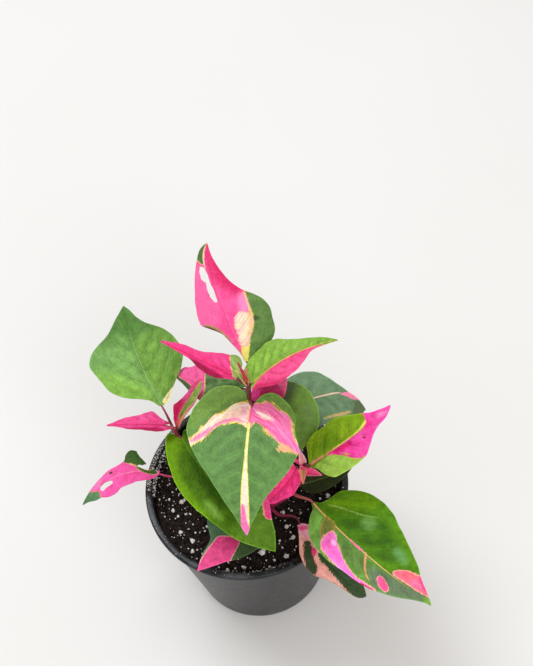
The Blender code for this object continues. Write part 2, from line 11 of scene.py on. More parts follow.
import bmesh
import bpy
import numpy as np
from mathutils import Matrix, Vector, noise


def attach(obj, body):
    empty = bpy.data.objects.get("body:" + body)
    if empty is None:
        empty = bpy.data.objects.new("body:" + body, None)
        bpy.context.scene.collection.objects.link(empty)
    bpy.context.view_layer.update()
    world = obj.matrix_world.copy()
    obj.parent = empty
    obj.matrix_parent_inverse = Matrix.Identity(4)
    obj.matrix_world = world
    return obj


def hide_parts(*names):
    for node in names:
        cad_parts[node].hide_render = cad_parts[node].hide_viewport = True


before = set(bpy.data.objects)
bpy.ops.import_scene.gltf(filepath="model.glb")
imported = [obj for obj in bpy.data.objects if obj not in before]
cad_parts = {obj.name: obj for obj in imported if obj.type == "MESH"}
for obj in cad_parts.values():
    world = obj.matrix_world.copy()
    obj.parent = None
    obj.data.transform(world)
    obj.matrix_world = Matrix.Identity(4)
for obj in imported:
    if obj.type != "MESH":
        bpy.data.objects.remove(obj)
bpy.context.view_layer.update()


# The pot
# A thin nursery pot of black polypropylene with a rolled rim, injection moulded in one piece. Its floor
# has six drain holes, and handling and potting have left dust and specks on its rim. The pale blue-grey
# film on what faces up is partly that dust and partly painted sheen, and the slight blue of its black is
# painted reflection.

MM = 0.001
POT_HEIGHT = 88.0
POT_RIM_RADIUS = 50.0
POT_FOOT_RADIUS = 34.5
POT_WALL = 1.2
RIM_WIDTH = 3.4
RIM_DEPTH = 3.2
RIM_ROUND = 1.1
FOOT_BEVEL = 1.5
POT_SIDES = 160
DRAIN_HOLES = 6
DRAIN_RADIUS = 3.5
DRAIN_CIRCLE = 22.0
SHARP_ANGLE = 40
CORNER_STEPS = 6
WALL_RINGS = 14
WALL_START = 6
FILLET = 0.4
RIM_SWELL = 0.3
RIM_FILLET = 0.6
RIM_TAPER = 0.05
DRILL_SIDES = 32


def paint(red, green, blue):
    """A colour as a colour picker gives it, from 0 to 255, made linear."""
    shares = [value / 255 for value in (red, green, blue)]
    return (*(v / 12.92 if v <= 0.04045 else ((v + 0.055) / 1.055) ** 2.4 for v in shares), 1.0)


def add_node(tree, kind, sockets=None, **settings):
    """A node with its settings, whose sockets take either a value or another node's output."""
    made = tree.nodes.new(kind)
    for key, value in settings.items():
        setattr(made, key, value)
    for key, value in (sockets or {}).items():
        if isinstance(value, bpy.types.NodeSocket):
            tree.links.new(value, made.inputs[key])
        else:
            made.inputs[key].default_value = value
    return made


def calculate(tree, operation, *values):
    """A Math node's result."""
    return add_node(tree, "ShaderNodeMath", dict(enumerate(values)), operation=operation).outputs[0]


def blend_colours(tree, share, first, second):
    """The colour that lies between two, at a share from 0 to 1."""
    sockets = {0: share, 6: first, 7: second}
    return add_node(tree, "ShaderNodeMix", sockets, data_type="RGBA").outputs[2]


def ramp(tree, value, low, high, to_low=0.0, to_high=1.0):
    """A value eased from one range to another."""
    sockets = {0: value, 1: low, 2: high, 3: to_low, 4: to_high}
    return add_node(tree, "ShaderNodeMapRange", sockets, interpolation_type="SMOOTHSTEP").outputs[0]


def grain_noise(tree, scale, detail, place=None, rough=0.5):
    """Noise with its scale in waves per metre on the piece's own coordinates, or on those of a place."""
    if place is None:
        place = add_node(tree, "ShaderNodeTexCoord").outputs["Object"]
    sockets = {"Vector": place, "Scale": scale, "Detail": detail, "Roughness": rough}
    return add_node(tree, "ShaderNodeTexNoise", sockets).outputs[0]


def new_group(name, inputs, outputs):
    """An empty shader node group with its named sockets, and its input and output nodes."""
    tree = bpy.data.node_groups.new(name, "ShaderNodeTree")
    kinds = {"colour": "NodeSocketColor", "number": "NodeSocketFloat"}
    for label, kind in inputs.items():
        tree.interface.new_socket(label, in_out="INPUT", socket_type=kinds[kind])
    for label, kind in outputs.items():
        tree.interface.new_socket(label, in_out="OUTPUT", socket_type=kinds[kind])
    return tree, tree.nodes.new("NodeGroupInput").outputs, tree.nodes.new("NodeGroupOutput").inputs


def use_group(tree, group, sockets):
    """The outputs of a group that is used as a node."""
    return add_node(tree, "ShaderNodeGroup", sockets, node_tree=group).outputs


def new_material(name, roughness=0.5, specular=0.5):
    """A material with its node tree and its Principled shader."""
    made = bpy.data.materials.new(name)
    made.use_nodes = True
    shader = made.node_tree.nodes["Principled BSDF"]
    shader.inputs["Roughness"].default_value = roughness
    shader.inputs["Specular IOR Level"].default_value = specular
    return made, made.node_tree, shader


def add_bump(tree, shader, height, distance):
    """Fine relief of a material, whose distance is in metres."""
    bump = add_node(tree, "ShaderNodeBump", {"Height": height, "Distance": distance, "Strength": 1.0})
    tree.links.new(bump.outputs[0], shader.inputs["Normal"])


DUST_AND_SHEEN_PAINT = paint(146, 148, 152)


def make_dust_and_sheen():
    """Dust that gathers on what faces up, in patches and specks. The patches' pale film is partly painted
    sheen.
    """
    tree, given, out = new_group("settled dust and painted sheen", {"Colour": "colour"}, {"Colour": "colour"})
    facing = add_node(tree, "ShaderNodeNewGeometry").outputs["Normal"]
    upward = add_node(tree, "ShaderNodeSeparateXYZ", {0: facing}).outputs[2]
    patches = ramp(tree, grain_noise(tree, 70.0, 4.0), 0.38, 0.66)
    specks = ramp(tree, grain_noise(tree, 1300.0, 1.0), 0.69, 0.75)
    # Painted sheen: the film on what faces up is partly dust and partly a painted blue-grey sheen.
    dust_and_sheen_film = calculate(tree, "MULTIPLY", patches, ramp(tree, upward, 0.1, 0.9))
    dust_and_sheen_film = calculate(tree, "MULTIPLY", dust_and_sheen_film, 0.2)
    spots = calculate(tree, "MULTIPLY", specks, ramp(tree, patches, 0.0, 1.0, 0.25, 0.9))
    share = calculate(tree, "MAXIMUM", dust_and_sheen_film, spots)
    tree.links.new(blend_colours(tree, share, given["Colour"], DUST_AND_SHEEN_PAINT), out["Colour"])
    return tree


def pot_material():
    made, tree, shader = new_material("black plastic", specular=0.25)
    streaks = grain_noise(tree, 160.0, 3.0)
    # Painted reflection: the slight blue of the black.
    colour = blend_colours(tree, streaks, paint(13, 14, 17), paint(18, 20, 25))
    dusty_and_sheened = use_group(tree, make_dust_and_sheen(), {"Colour": colour})["Colour"]
    tree.links.new(dusty_and_sheened, shader.inputs["Base Color"])
    rough = ramp(tree, grain_noise(tree, 240.0, 3.0), 0.3, 0.7, 0.33, 0.37)
    tree.links.new(rough, shader.inputs["Roughness"])
    add_bump(tree, shader, grain_noise(tree, 2600.0, 2.0), 0.000008)
    return made


def add_object(name, data):
    """A new object of the scene."""
    obj = bpy.data.objects.new(name, data)
    bpy.context.scene.collection.objects.link(obj)
    return obj


def shade_mesh(mesh):
    """Smooth shading that leaves sharp edges sharp."""
    mesh.shade_smooth()
    mesh.set_sharp_from_angle(angle=math.radians(SHARP_ANGLE))


def new_object(name, points, faces, materials):
    """An object from points in millimetres."""
    mesh = bpy.data.meshes.new(name)
    mesh.from_pydata(np.asarray(points, float) * MM, [], faces)
    for one in materials:
        mesh.materials.append(one)
    return add_object(name, mesh)


def work_mesh(name, work):
    """A mesh from a bmesh, which is then freed."""
    mesh = bpy.data.meshes.new(name)
    work.to_mesh(mesh)
    work.free()
    return mesh


def settle(obj, slot, *nodes):
    """Fixes a finished piece to the plant's one body, as what shows of its CAD nodes."""
    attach(obj, "root")
    if nodes:
        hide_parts(*nodes)


def lathe(profile, sides):
    """Points and faces turned from a profile of (radius, height) points, whose ends lie on the axis."""
    points = [(0, 0, profile[0][1])]
    faces = []
    for radius, height in profile[1:-1]:
        for k in range(sides):
            angle = 2 * math.pi * k / sides
            points.append((radius * math.cos(angle), radius * math.sin(angle), height))
    points.append((0, 0, profile[-1][1]))
    rings = len(profile) - 2
    last = len(points) - 1
    for k in range(sides):
        after = (k + 1) % sides
        faces.append((0, 1 + after, 1 + k))
        for i in range(rings - 1):
            a, b = 1 + i * sides + k, 1 + i * sides + after
            faces.append((a, b, b + sides, a + sides))
        faces.append((last, 1 + (rings - 1) * sides + k, 1 + (rings - 1) * sides + after))
    return points, faces


def wall_radius(height):
    """The radius of the pot's outer wall, under its rim, at a height."""
    top = POT_RIM_RADIUS - RIM_WIDTH + POT_WALL
    return POT_FOOT_RADIUS + (top - POT_FOOT_RADIUS) * height / (POT_HEIGHT - RIM_DEPTH)


def corner(radius, height, size, start):
    """A quarter round about a centre, as (radius, height) points, from a starting angle."""
    turns = [math.radians(start + 90 * k / CORNER_STEPS) for k in range(CORNER_STEPS + 1)]
    return [(radius + size * math.cos(t), height + size * math.sin(t)) for t in turns]


def make_pot():
    under_rim = POT_HEIGHT - RIM_DEPTH
    outer, inner = POT_RIM_RADIUS, POT_RIM_RADIUS - RIM_WIDTH
    bead = RIM_ROUND
    profile = [(0, 0), (POT_FOOT_RADIUS - FOOT_BEVEL, 0)]
    profile += [(POT_FOOT_RADIUS - FILLET, FILLET), (wall_radius(FOOT_BEVEL), FOOT_BEVEL)]
    up = np.linspace(WALL_START, under_rim - FILLET, WALL_RINGS)
    profile += [(wall_radius(h), h) for h in up]
    profile += [(wall_radius(under_rim) + RIM_SWELL, under_rim)]
    profile += corner(outer - bead, under_rim + bead, bead, -90)
    profile += corner(outer - bead, POT_HEIGHT - bead, bead, 0)
    profile += corner(inner + bead, POT_HEIGHT - bead, bead, 90)
    profile += [(inner, under_rim + RIM_FILLET), (inner - RIM_TAPER, under_rim)]
    down = np.linspace(under_rim - FILLET, WALL_START, WALL_RINGS)
    profile += [(wall_radius(h) - POT_WALL, h) for h in down]
    profile += [(wall_radius(POT_WALL) - POT_WALL - RIM_FILLET, POT_WALL), (0, POT_WALL)]
    obj = new_object("pot_shell", *lathe(profile, POT_SIDES), [pot_material()])
    drill = bmesh.new()
    radius = DRAIN_RADIUS * MM
    for k in range(DRAIN_HOLES):
        angle = 2 * math.pi * (k + 0.5) / DRAIN_HOLES
        place = Vector((DRAIN_CIRCLE * math.cos(angle), DRAIN_CIRCLE * math.sin(angle), 0)) * MM
        bmesh.ops.create_cone(
            drill, cap_ends=True, segments=DRILL_SIDES, radius1=radius, radius2=radius,
            depth=4 * POT_WALL * MM, matrix=Matrix.Translation(place),
        )
    cutter = add_object("drill", work_mesh("drill", drill))
    cut = obj.modifiers.new("drain holes", "BOOLEAN")
    cut.operation = "DIFFERENCE"
    cut.solver = "EXACT"
    cut.object = cutter
    apply_modifiers(obj)
    bpy.data.objects.remove(cutter)
    shade_mesh(obj.data)
    return obj


def apply_modifiers(obj):
    """Puts the modifiers' result in the object's own mesh and removes them."""
    bpy.context.view_layer.update()
    graph = bpy.context.evaluated_depsgraph_get()
    result = bpy.data.meshes.new_from_object(obj.evaluated_get(graph))
    obj.modifiers.clear()
    obj.data = result


pot = make_pot()
settle(pot, "pot", "pot")


# The soil
# Dark peat based potting soil, loose and lumpy on top, with crumbs and fibres of bark lying on it. It was
# poured in and pressed down lightly, about 8 mm under the rim.

SOIL_TOP = 80.0
SOIL_SWELL = 1.6
SOIL_SINK = 1.0
SOIL_LUMPS = 0.55
SOIL_RINGS = 100
SOIL_SIDES = 240
SOIL_LEVELS = (20, 40, 60, 74)
SOIL_OVER_FLOOR = 0.3
FOOT_GAP = 0.5
SIDE_GAP = 0.1
TOP_GAP = 0.05
STREWN_GAP = 1.2
GRAIN_FLATNESS = 0.8


def soil_height(x, y):
    """The soil's surface: a low swell with small lumps, about 20 mm and 9 mm across."""
    swell = SOIL_SWELL * math.cos(math.pi * min(1.0, math.hypot(x, y) / POT_RIM_RADIUS) / 2)
    broad = math.sin(0.31 * x + 1.0) * math.cos(0.27 * y)
    narrow = math.sin(0.53 * x - 0.47 * y + 2.0)
    return SOIL_TOP - SOIL_SINK + swell + SOIL_LUMPS * (broad + 0.7 * narrow)


def crumbly_height(x, y):
    """The soil's surface with its crumbs, which are rounded cells of two sizes."""
    coarse = noise.voronoi(Vector((x / 3.2, y / 3.2, 0.3)))[0][0]
    fine = noise.voronoi(Vector((x / 1.3, y / 1.3, 4.7)))[0][0]
    rough = noise.fractal(Vector((x / 6, y / 6, 2.0)), 0.8, 2.1, 4)
    return soil_height(x, y) + 0.9 * (0.45 - coarse) + 0.45 * (0.4 - fine) + 0.7 * rough


def soil_material(name, dark, light, rough_scale):
    made, tree, shader = new_material(name, roughness=0.95, specular=0.25)
    clods = grain_noise(tree, rough_scale, 5.0, rough=0.65)
    colour = blend_colours(tree, ramp(tree, clods, 0.36, 0.70), dark, light)
    bark = ramp(tree, grain_noise(tree, 900.0, 1.0), 0.64, 0.72)
    colour = blend_colours(tree, calculate(tree, "MULTIPLY", bark, 0.5), colour, paint(84, 62, 52))
    tree.links.new(colour, shader.inputs["Base Color"])
    add_bump(tree, shader, grain_noise(tree, 1500.0, 4.0, rough=0.7), 0.0004)
    return made


SOIL_PAINT = soil_material("potting soil", paint(12, 9, 8), paint(58, 44, 39), 520.0)
BARK_PAINT = soil_material("bark fibre", paint(36, 24, 20), paint(78, 55, 42), 600.0)


def make_soil():
    floor = POT_WALL + SOIL_OVER_FLOOR
    radii = np.linspace(1, 0, SOIL_RINGS, endpoint=False)
    top_radius = wall_radius(SOIL_TOP) - POT_WALL - TOP_GAP
    profile = [(0, floor), (wall_radius(floor) - POT_WALL - FOOT_GAP, floor)]
    profile += [(wall_radius(h) - POT_WALL - SIDE_GAP, h) for h in SOIL_LEVELS]
    profile += [(top_radius * r, SOIL_TOP) for r in radii]
    profile += [(0, SOIL_TOP)]
    points, faces = lathe(profile, SOIL_SIDES)
    points = [(x, y, crumbly_height(x, y)) if z > SOIL_TOP - SOIL_SINK else (x, y, z) for x, y, z in points]
    obj = new_object("soil_bed", points, faces, [SOIL_PAINT])
    shade_mesh(obj.data)
    return obj


def calculate_vector(tree, operation, value, other):
    """A Vector Math node's result, whose second value is a number where it scales."""
    sockets = {0: value, "Scale" if operation == "SCALE" else 1: other}
    return add_node(tree, "ShaderNodeVectorMath", sockets, operation=operation).outputs[0]


def grain_tree(name, shape):
    """Geometry Nodes that scatter small lumps over a surface, each with its own size and turn.

    The lumps are roughened after they are made real, so that no two are alike.
    """
    tree = bpy.data.node_groups.new(name, "GeometryNodeTree")
    sockets = (
        ("Geometry", "NodeSocketGeometry", None),
        ("Density", "NodeSocketFloat", 1000.0),
        ("Smallest", "NodeSocketFloat", 0.001),
        ("Largest", "NodeSocketFloat", 0.001),
        ("Length", "NodeSocketFloat", 1.0),
        ("Lift", "NodeSocketFloat", 0.0),
        ("Roughness", "NodeSocketFloat", 0.0003),
        ("Seed", "NodeSocketInt", 1),
        ("Material", "NodeSocketMaterial", None),
    )
    for label, kind, value in sockets:
        made = tree.interface.new_socket(label, in_out="INPUT", socket_type=kind)
        if value is not None:
            made.default_value = value
    tree.interface.new_socket("Geometry", in_out="OUTPUT", socket_type="NodeSocketGeometry")
    given = tree.nodes.new("NodeGroupInput").outputs
    out = tree.nodes.new("NodeGroupOutput").inputs

    def pick(kind, low, high, seed=0):
        first, result = (2, 1) if kind == "FLOAT" else (0, 0)
        sockets = {first: low, first + 1: high, "Seed": seed}
        return add_node(tree, "FunctionNodeRandomValue", sockets, data_type=kind).outputs[result]

    strewn = {"Mesh": given["Geometry"], "Density": given["Density"], "Seed": given["Seed"]}
    spread = add_node(tree, "GeometryNodeDistributePointsOnFaces", strewn)
    if shape == "fibre":
        cone = {"Vertices": 5, "Radius Top": 0.35, "Radius Bottom": 0.5, "Depth": 1.0}
        solid = add_node(tree, "GeometryNodeMeshCone", cone)
        turn = pick("FLOAT_VECTOR", (1.2, 0.0, 0.0), (1.9, 0.0, 6.28))
    else:
        ball = {"Radius": 0.5, "Subdivisions": 2 if shape == "grain" else 1}
        solid = add_node(tree, "GeometryNodeMeshIcoSphere", ball)
        turn = pick("FLOAT_VECTOR", (0.0, 0.0, 0.0), (6.28, 6.28, 6.28))
    size = pick("FLOAT", given["Smallest"], given["Largest"], given["Seed"])
    squeeze = pick("FLOAT_VECTOR", (0.75, 0.75, 0.75), (1.15, 1.15, 1.15))
    stretch = add_node(tree, "ShaderNodeCombineXYZ", {0: 1.0, 1: GRAIN_FLATNESS, 2: given["Length"]})
    shaped = calculate_vector(tree, "MULTIPLY", squeeze, stretch.outputs[0])
    lumps = {
        "Points": spread.outputs["Points"],
        "Instance": solid.outputs["Mesh"],
        "Rotation": turn,
        "Scale": calculate_vector(tree, "SCALE", shaped, size),
    }
    place = add_node(tree, "GeometryNodeInstanceOnPoints", lumps)
    lifted = add_node(tree, "ShaderNodeCombineXYZ", {2: given["Lift"]})
    moved = {0: place.outputs[0], "Translation": lifted.outputs[0], "Local Space": False}
    raised = add_node(tree, "GeometryNodeTranslateInstances", moved)
    real = add_node(tree, "GeometryNodeRealizeInstances", {0: raised.outputs[0]})
    wobble = add_node(tree, "ShaderNodeTexNoise", {"Scale": 900.0, "Detail": 1.0})
    centred = calculate_vector(tree, "SUBTRACT", wobble.outputs["Color"], (0.5, 0.5, 0.5))
    offset = calculate_vector(tree, "SCALE", centred, given["Roughness"])
    rough = add_node(tree, "GeometryNodeSetPosition", {0: real.outputs[0], "Offset": offset})
    painted = {0: rough.outputs[0], "Material": given["Material"]}
    dressed = add_node(tree, "GeometryNodeSetMaterial", painted)
    tree.links.new(dressed.outputs[0], out[0])
    return tree


def scatter(name, surface, tree, material, **values):
    """A plain mesh of the lumps that a tree strews over a surface."""
    obj = add_object(name, surface.copy())
    strew = obj.modifiers.new("scatter", "NODES")
    strew.node_group = tree
    names = {item.name: item.identifier for item in tree.interface.items_tree if item.in_out == "INPUT"}
    for label, value in values.items():
        strew[names[label.capitalize()]] = value
    strew[names["Material"]] = material
    apply_modifiers(obj)
    return obj


def ring_surface(inner, outer, height, rings=2, sides=72, start=0, turn=360):
    """A ring, or a part of one, to strew things on, whose height is a function of x and y."""
    points = []
    faces = []
    for i in range(rings + 1):
        radius = inner + (outer - inner) * i / rings
        for k in range(sides + 1):
            angle = math.radians(start + turn * k / sides)
            x, y = radius * math.cos(angle), radius * math.sin(angle)
            points.append(Vector((x, y, height(x, y))) * MM)
    for i in range(rings):
        for k in range(sides):
            a, b = i * (sides + 1) + k, i * (sides + 1) + k + 1
            faces.append((a, a + sides + 1, b + sides + 1, b))
    mesh = bpy.data.meshes.new("strewn ground")
    mesh.from_pydata(points, [], faces)
    return mesh


def join_parts(name, parts):
    """One object from several."""
    work = bmesh.new()
    materials = []
    for part in parts:
        shift = len(materials)
        materials += list(part.data.materials)
        first = len(work.faces)
        work.from_mesh(part.data)
        work.faces.ensure_lookup_table()
        for face in work.faces[first:]:
            face.material_index += shift
    mesh = work_mesh(name, work)
    for one in materials:
        mesh.materials.append(one)
    for part in parts:
        bpy.data.objects.remove(part)
    return add_object(name, mesh)


soil = make_soil()
settle(soil, "soil", "soil")
SOIL_GROUND = ring_surface(0.5, wall_radius(SOIL_TOP) - POT_WALL - STREWN_GAP, soil_height, rings=24)
CRUMBS = grain_tree("crumbs", "crumb")
crumbs = scatter(
    "soil_crumbs", SOIL_GROUND, CRUMBS, SOIL_PAINT,
    density=330000.0, smallest=0.0006, largest=0.0021, lift=0.0003, roughness=0.0006, seed=11,
)
fibres = scatter(
    "bark_fibres", SOIL_GROUND, grain_tree("fibres", "fibre"), BARK_PAINT,
    density=15000.0, smallest=0.0004, largest=0.0008, length=6.0, lift=0.0008, roughness=0.0003, seed=5,
)
litter = join_parts("soil_litter", [crumbs, fibres])
settle(litter, "soil")


# The perlite
# White grains of expanded volcanic glass, mixed through the soil. The largest are 2 to 3 mm across and
# lie half out of the soil, with many specks between them.

PERLITE = (
    (1, -34, 3.4), (-33, 1, 2.6), (-38, -3, 2.2), (-26, -5, 2.2), (-36, -15, 2.2), (-31, -21, 2.6),
    (-32, -26, 2.2), (12, -39, 2.6), (17, -30, 2.6), (15, -24, 2.2), (-9, -40, 2.2), (38, -12, 2.6),
    (-12, 34, 2.6), (20, 33, 2.4), (-39, 4, 1.5), (-32, -3, 1.5), (-32, -6, 1.5), (-36, -6, 1.5),
    (6, -39, 1.5), (3, -42, 1.5), (19, -16, 1.5), (15, -16, 1.9), (23, -18, 1.5), (-17, -39, 1.9),
    (-23, -15, 1.5), (34, -13, 1.5),
)


def perlite_material():
    made, tree, shader = new_material("perlite", roughness=0.85, specular=0.3)
    stain = ramp(tree, grain_noise(tree, 500.0, 4.0), 0.35, 0.72)
    colour = blend_colours(tree, stain, paint(252, 251, 247), paint(224, 218, 208))
    tree.links.new(colour, shader.inputs["Base Color"])
    add_bump(tree, shader, grain_noise(tree, 2200.0, 3.0), 0.00025)
    return made


def make_perlite():
    """The named grains, as lumps of many small faces, and the specks that are strewn between them."""
    work = bmesh.new()
    for x, y, size in PERLITE:
        lump = bmesh.ops.create_icosphere(work, subdivisions=3, radius=size / 2)
        centre = Vector((x, y, soil_height(x, y) + 0.25 * size))
        for vertex in lump["verts"]:
            bumps = noise.fractal(vertex.co * 0.9 + centre * 3.1, 0.9, 2.2, 3)
            lumpy = noise.voronoi((vertex.co + centre) / (0.45 * size))[0][0]
            vertex.co = (centre + vertex.co * (1.12 + 0.3 * bumps - 0.5 * lumpy)) * MM
    mesh = work_mesh("large grains", work)
    mesh.materials.append(PERLITE_PAINT)
    mesh.shade_smooth()
    small = scatter(
        "small_grains", SOIL_GROUND, grain_tree("perlite grains", "grain"), PERLITE_PAINT,
        density=100000.0, smallest=0.0001, largest=0.0011, lift=0.0008, roughness=0.0007, seed=3,
    )
    return join_parts("perlite_grains", [add_object("large_grains", mesh), small])


PERLITE_PAINT = perlite_material()
perlite = make_perlite()
settle(perlite, "soil")


# The blades and stalks
# A leaf is a thin soft blade, grown in one piece with its stalk. The midrib and the side veins are pressed
# in above and stand out below, and the blade is quilted between them. Pink and cream parts have no green.

SKIN = 0.38
EDGE_SKIN = 0.16
KEEL = 0.5
KEEL_HALF = 0.7
GROOVE = 0.26
GROOVE_HALF = 0.6
VEIN_RIDGE = 0.14
VEIN_DENT = 0.07
NODE_SWELL = 0.35
NODE_WIDTH = 2.0
TUBE_RIDGES = 5
STALK_RADIUS = 0.68
STALK_SIDES = 14
STALK_RINGS = 26
STALK_RIDGES = 0.04
STALK_INSET = 0.3
STALK_SUNK = 5.0
STALK_RISE = 35.0
STALK_FLARE = 1.25
STALK_TAPER = 0.80
STALK_LEAD = 0.25
STALK_DEPTH = 0.82
BASE_HALF = 1.0
TIP_HALF = 0.2
RIB_STEPS = 40
ROW_LEAD = 1.5
ROW_SWEEP = 1.25
ROW_STEP = 0.55
CURL_REACH = 20.0
SIDE_SHIFT = 0.3
FAR_OFF = -60.0
NET_SCALE = 640.0
EDGE_STEPS = 60
EDGE_CROWD = 1.15
PATCH_ROUNDS = 3
VEIN_CLEAR = 2.5
DENT_HALF = 0.45
RIDGE_HALF = 0.5
FRILL_HEIGHT = 0.12
FRILL_RATE = 3.3
PUFF_BELOW = 0.8

YELLOW = (236, 222, 110)
LEAF_GREEN = (104, 146, 80)
DARK_GREEN = (62, 92, 34)
UNDERSIDE = (196, 190, 160)
UNDERSIDE_SHARE = 0.28
BRIGHTEST = (0.98, 0.98, 0.98)
STREAK_STRETCH = (0.85, 0.09, 0.0)
BAND_STRETCH = (1.3, 0.11, 0.0)
RUNG_STRETCH = (0.38, 0.52, 0.0)


@dataclass
class Patch:
    """One coloured field of a blade: its outline as (along, across) points, with the right side positive.

    deep is a second colour mixed through it, along the veins where streaky. border is a line of another
    colour around it and width that line's width. jag is how far the edge strays along the veins, and soft
    how wide it fades.
    """

    outline: tuple
    colour: tuple
    deep: tuple = None
    border: tuple = None
    width: float = 0.0
    jag: float = 0.25
    soft: float = 0.25
    streaky: bool = False


@dataclass
class Leaf:
    """One leaf of a stem.

    node is the height on the stem where its stalk leaves, and at is where its blade begins. heading is
    the direction of the midrib seen from above and pitch is its rise, both at the blade's base and tip.
    left and right are the two half outlines, as (along, across) points on the flattened blade, looking
    from its base to its tip. fold lifts each half like the arms of a V, curl bends it further for every
    20 mm, roll lifts the right side, and wave is the height, number and phase of the waves of the edge.
    slits are the outlines of what is eaten or torn away, and columns is the number of quads across.

    Side veins are gap apart, lean forward by so much for each mm across, and bow further forward. quilt
    is how far the blade swells between them. vein and margin are how much lighter or darker these are
    than the tissue, whose two shades are colour and deep, mixed by shade. vein also sets how strongly
    the veins' tone, turned round, is spread over the swells between them as painted light and shade.
    rib is the midrib's colour, painted over so many of the patches as rib_over says. grain is how far the
    tissue varies in tone, and also how strongly each swell is painted lighter on one side and darker on
    the other. gloss is the shine, and the glow is painted light: the blade gives off light in its own
    colour, in place of the light that comes through it from behind.
    """

    at: tuple
    heading: tuple
    pitch: tuple
    length: float
    left: tuple
    right: tuple
    node: float = 0.0
    fold: tuple = (8, 8)
    curl: tuple = (0, 0)
    roll: tuple = (0, 0)
    wave: tuple = (0.5, 2.5, 0.0)
    slits: tuple = ()
    slot: str = "leaf_green"
    columns: int = 56
    gap: float = 7.0
    lean: float = 0.55
    bow: float = 0.014
    quilt: float = 0.22
    colour: tuple = LEAF_GREEN
    deep: tuple = DARK_GREEN
    shade: float = 0.25
    vein: float = 0.10
    margin: float = 0.15
    rib: tuple = YELLOW
    rib_strength: float = 0.6
    rib_half: float = 0.42
    rib_over: int = 0
    grain: float = 0.1
    gloss: float = 0.3
    glow: float = 0.0
    stalk: tuple = ((84, 24, 26), (122, 44, 40))
    patches: tuple = ()


def unit(vectors):
    """Vectors, each made one long."""
    return vectors / np.linalg.norm(vectors, axis=-1, keepdims=True)


def hump(distance, width):
    """A smooth hump that is one high at no distance and fades over a width."""
    return np.exp(-((distance / width) ** 2))


def smooth_line(points, steps=16):
    """A smooth line through points of any dimension, as centripetal Catmull-Rom pieces."""
    p = np.array(points, float)
    p = np.vstack([2 * p[0] - p[1], p, 2 * p[-1] - p[-2]])
    line = []
    for i in range(1, len(p) - 2):
        a, b, c, d = p[i - 1 : i + 3]
        ta, tb, tc = (max(np.linalg.norm(v), 1e-6) ** 0.5 for v in (b - a, c - b, d - c))
        slope_b = (b - a) / ta - (c - a) / (ta + tb) + (c - b) / tb
        slope_c = (c - b) / tb - (d - b) / (tb + tc) + (d - c) / tc
        for u in np.arange(steps) / steps:
            line.append(
                (2 * u**3 - 3 * u**2 + 1) * b
                + (u**3 - 2 * u**2 + u) * tb * slope_b
                + (3 * u**2 - 2 * u**3) * c
                + (u**3 - u**2) * tb * slope_c
            )
    line.append(p[-2])
    return np.array(line)


def along_line(line, at):
    """Points of a line at the given fractions of its length."""
    reach = np.concatenate([[0.0], np.cumsum(np.linalg.norm(np.diff(line, axis=0), axis=1))])
    share = reach / reach[-1]
    return np.stack([np.interp(at, share, line[:, k]) for k in range(line.shape[1])], axis=-1)


def stem_axis(stem, heights):
    """Points of the stem's axis at the given heights."""
    line = smooth_line(stem.points)
    return np.stack([np.interp(heights, line[:, 2], line[:, k]) for k in range(2)] + [heights], axis=-1)


def stem_radius(stem, heights):
    """The radius, which tapers to the tip and swells at each node."""
    share = np.clip((heights - SOIL_TOP) / (stem.points[-1][2] - SOIL_TOP), 0, 1)
    radius = stem.radius + (stem.tip_radius - stem.radius) * share
    for node in stem.nodes:
        radius = radius + NODE_SWELL * hump(heights - node, NODE_WIDTH)
    return radius


def tube(line, radii, sides, ridges):
    """Points and faces of a closed tube along a line, with its own radius at each point.

    Low ridges run along it, whose height is a share of the radius.
    """
    line = np.array(line, float)
    ahead = unit(np.gradient(line, axis=0))
    side = unit(np.cross(ahead[0], (0.3, 1.0, 0.2)))
    points = []
    for place, onward, radius in zip(line, ahead, radii):
        side = unit(side - onward * (side @ onward))
        other = np.cross(onward, side)
        for k in range(sides):
            angle = 2 * math.pi * k / sides
            out = radius * (1 + ridges * math.cos(TUBE_RIDGES * angle))
            points.append(place + out * (math.cos(angle) * side + math.sin(angle) * other))
    faces = []
    for i in range(len(line) - 1):
        for k in range(sides):
            a, b = i * sides + k, i * sides + (k + 1) % sides
            faces.append((a, b, b + sides, a + sides))
    faces.append(tuple(range(sides))[::-1])
    faces.append(tuple(range((len(line) - 1) * sides, len(line) * sides)))
    return np.array(points), faces


def stalk_material(name, dark, light, low, high):
    """Stem and leaf stalk skin, whose colour turns from dark to light between two heights."""
    made, tree, shader = new_material(name, roughness=0.42, specular=0.5)
    place = add_node(tree, "ShaderNodeTexCoord").outputs["Object"]
    height = add_node(tree, "ShaderNodeSeparateXYZ", {0: place}).outputs[2]
    colour = blend_colours(tree, ramp(tree, height, low * MM, high * MM), paint(*dark), paint(*light))
    streaks = ramp(tree, grain_noise(tree, 700.0, 3.0), 0.40, 0.66)
    colour = blend_colours(tree, calculate(tree, "MULTIPLY", streaks, 0.16), colour, paint(190, 90, 96))
    tree.links.new(colour, shader.inputs["Base Color"])
    add_bump(tree, shader, grain_noise(tree, 1800.0, 2.0), 0.0001)
    return made


def between(ends, share):
    """Angles in radians, between two in degrees."""
    return np.radians(ends[0] + (ends[1] - ends[0]) * share)


def direction(turn, rise):
    """The direction that an angle seen from above and a rise give."""
    return np.stack([np.cos(rise) * np.cos(turn), np.cos(rise) * np.sin(turn), np.sin(rise)], axis=-1)


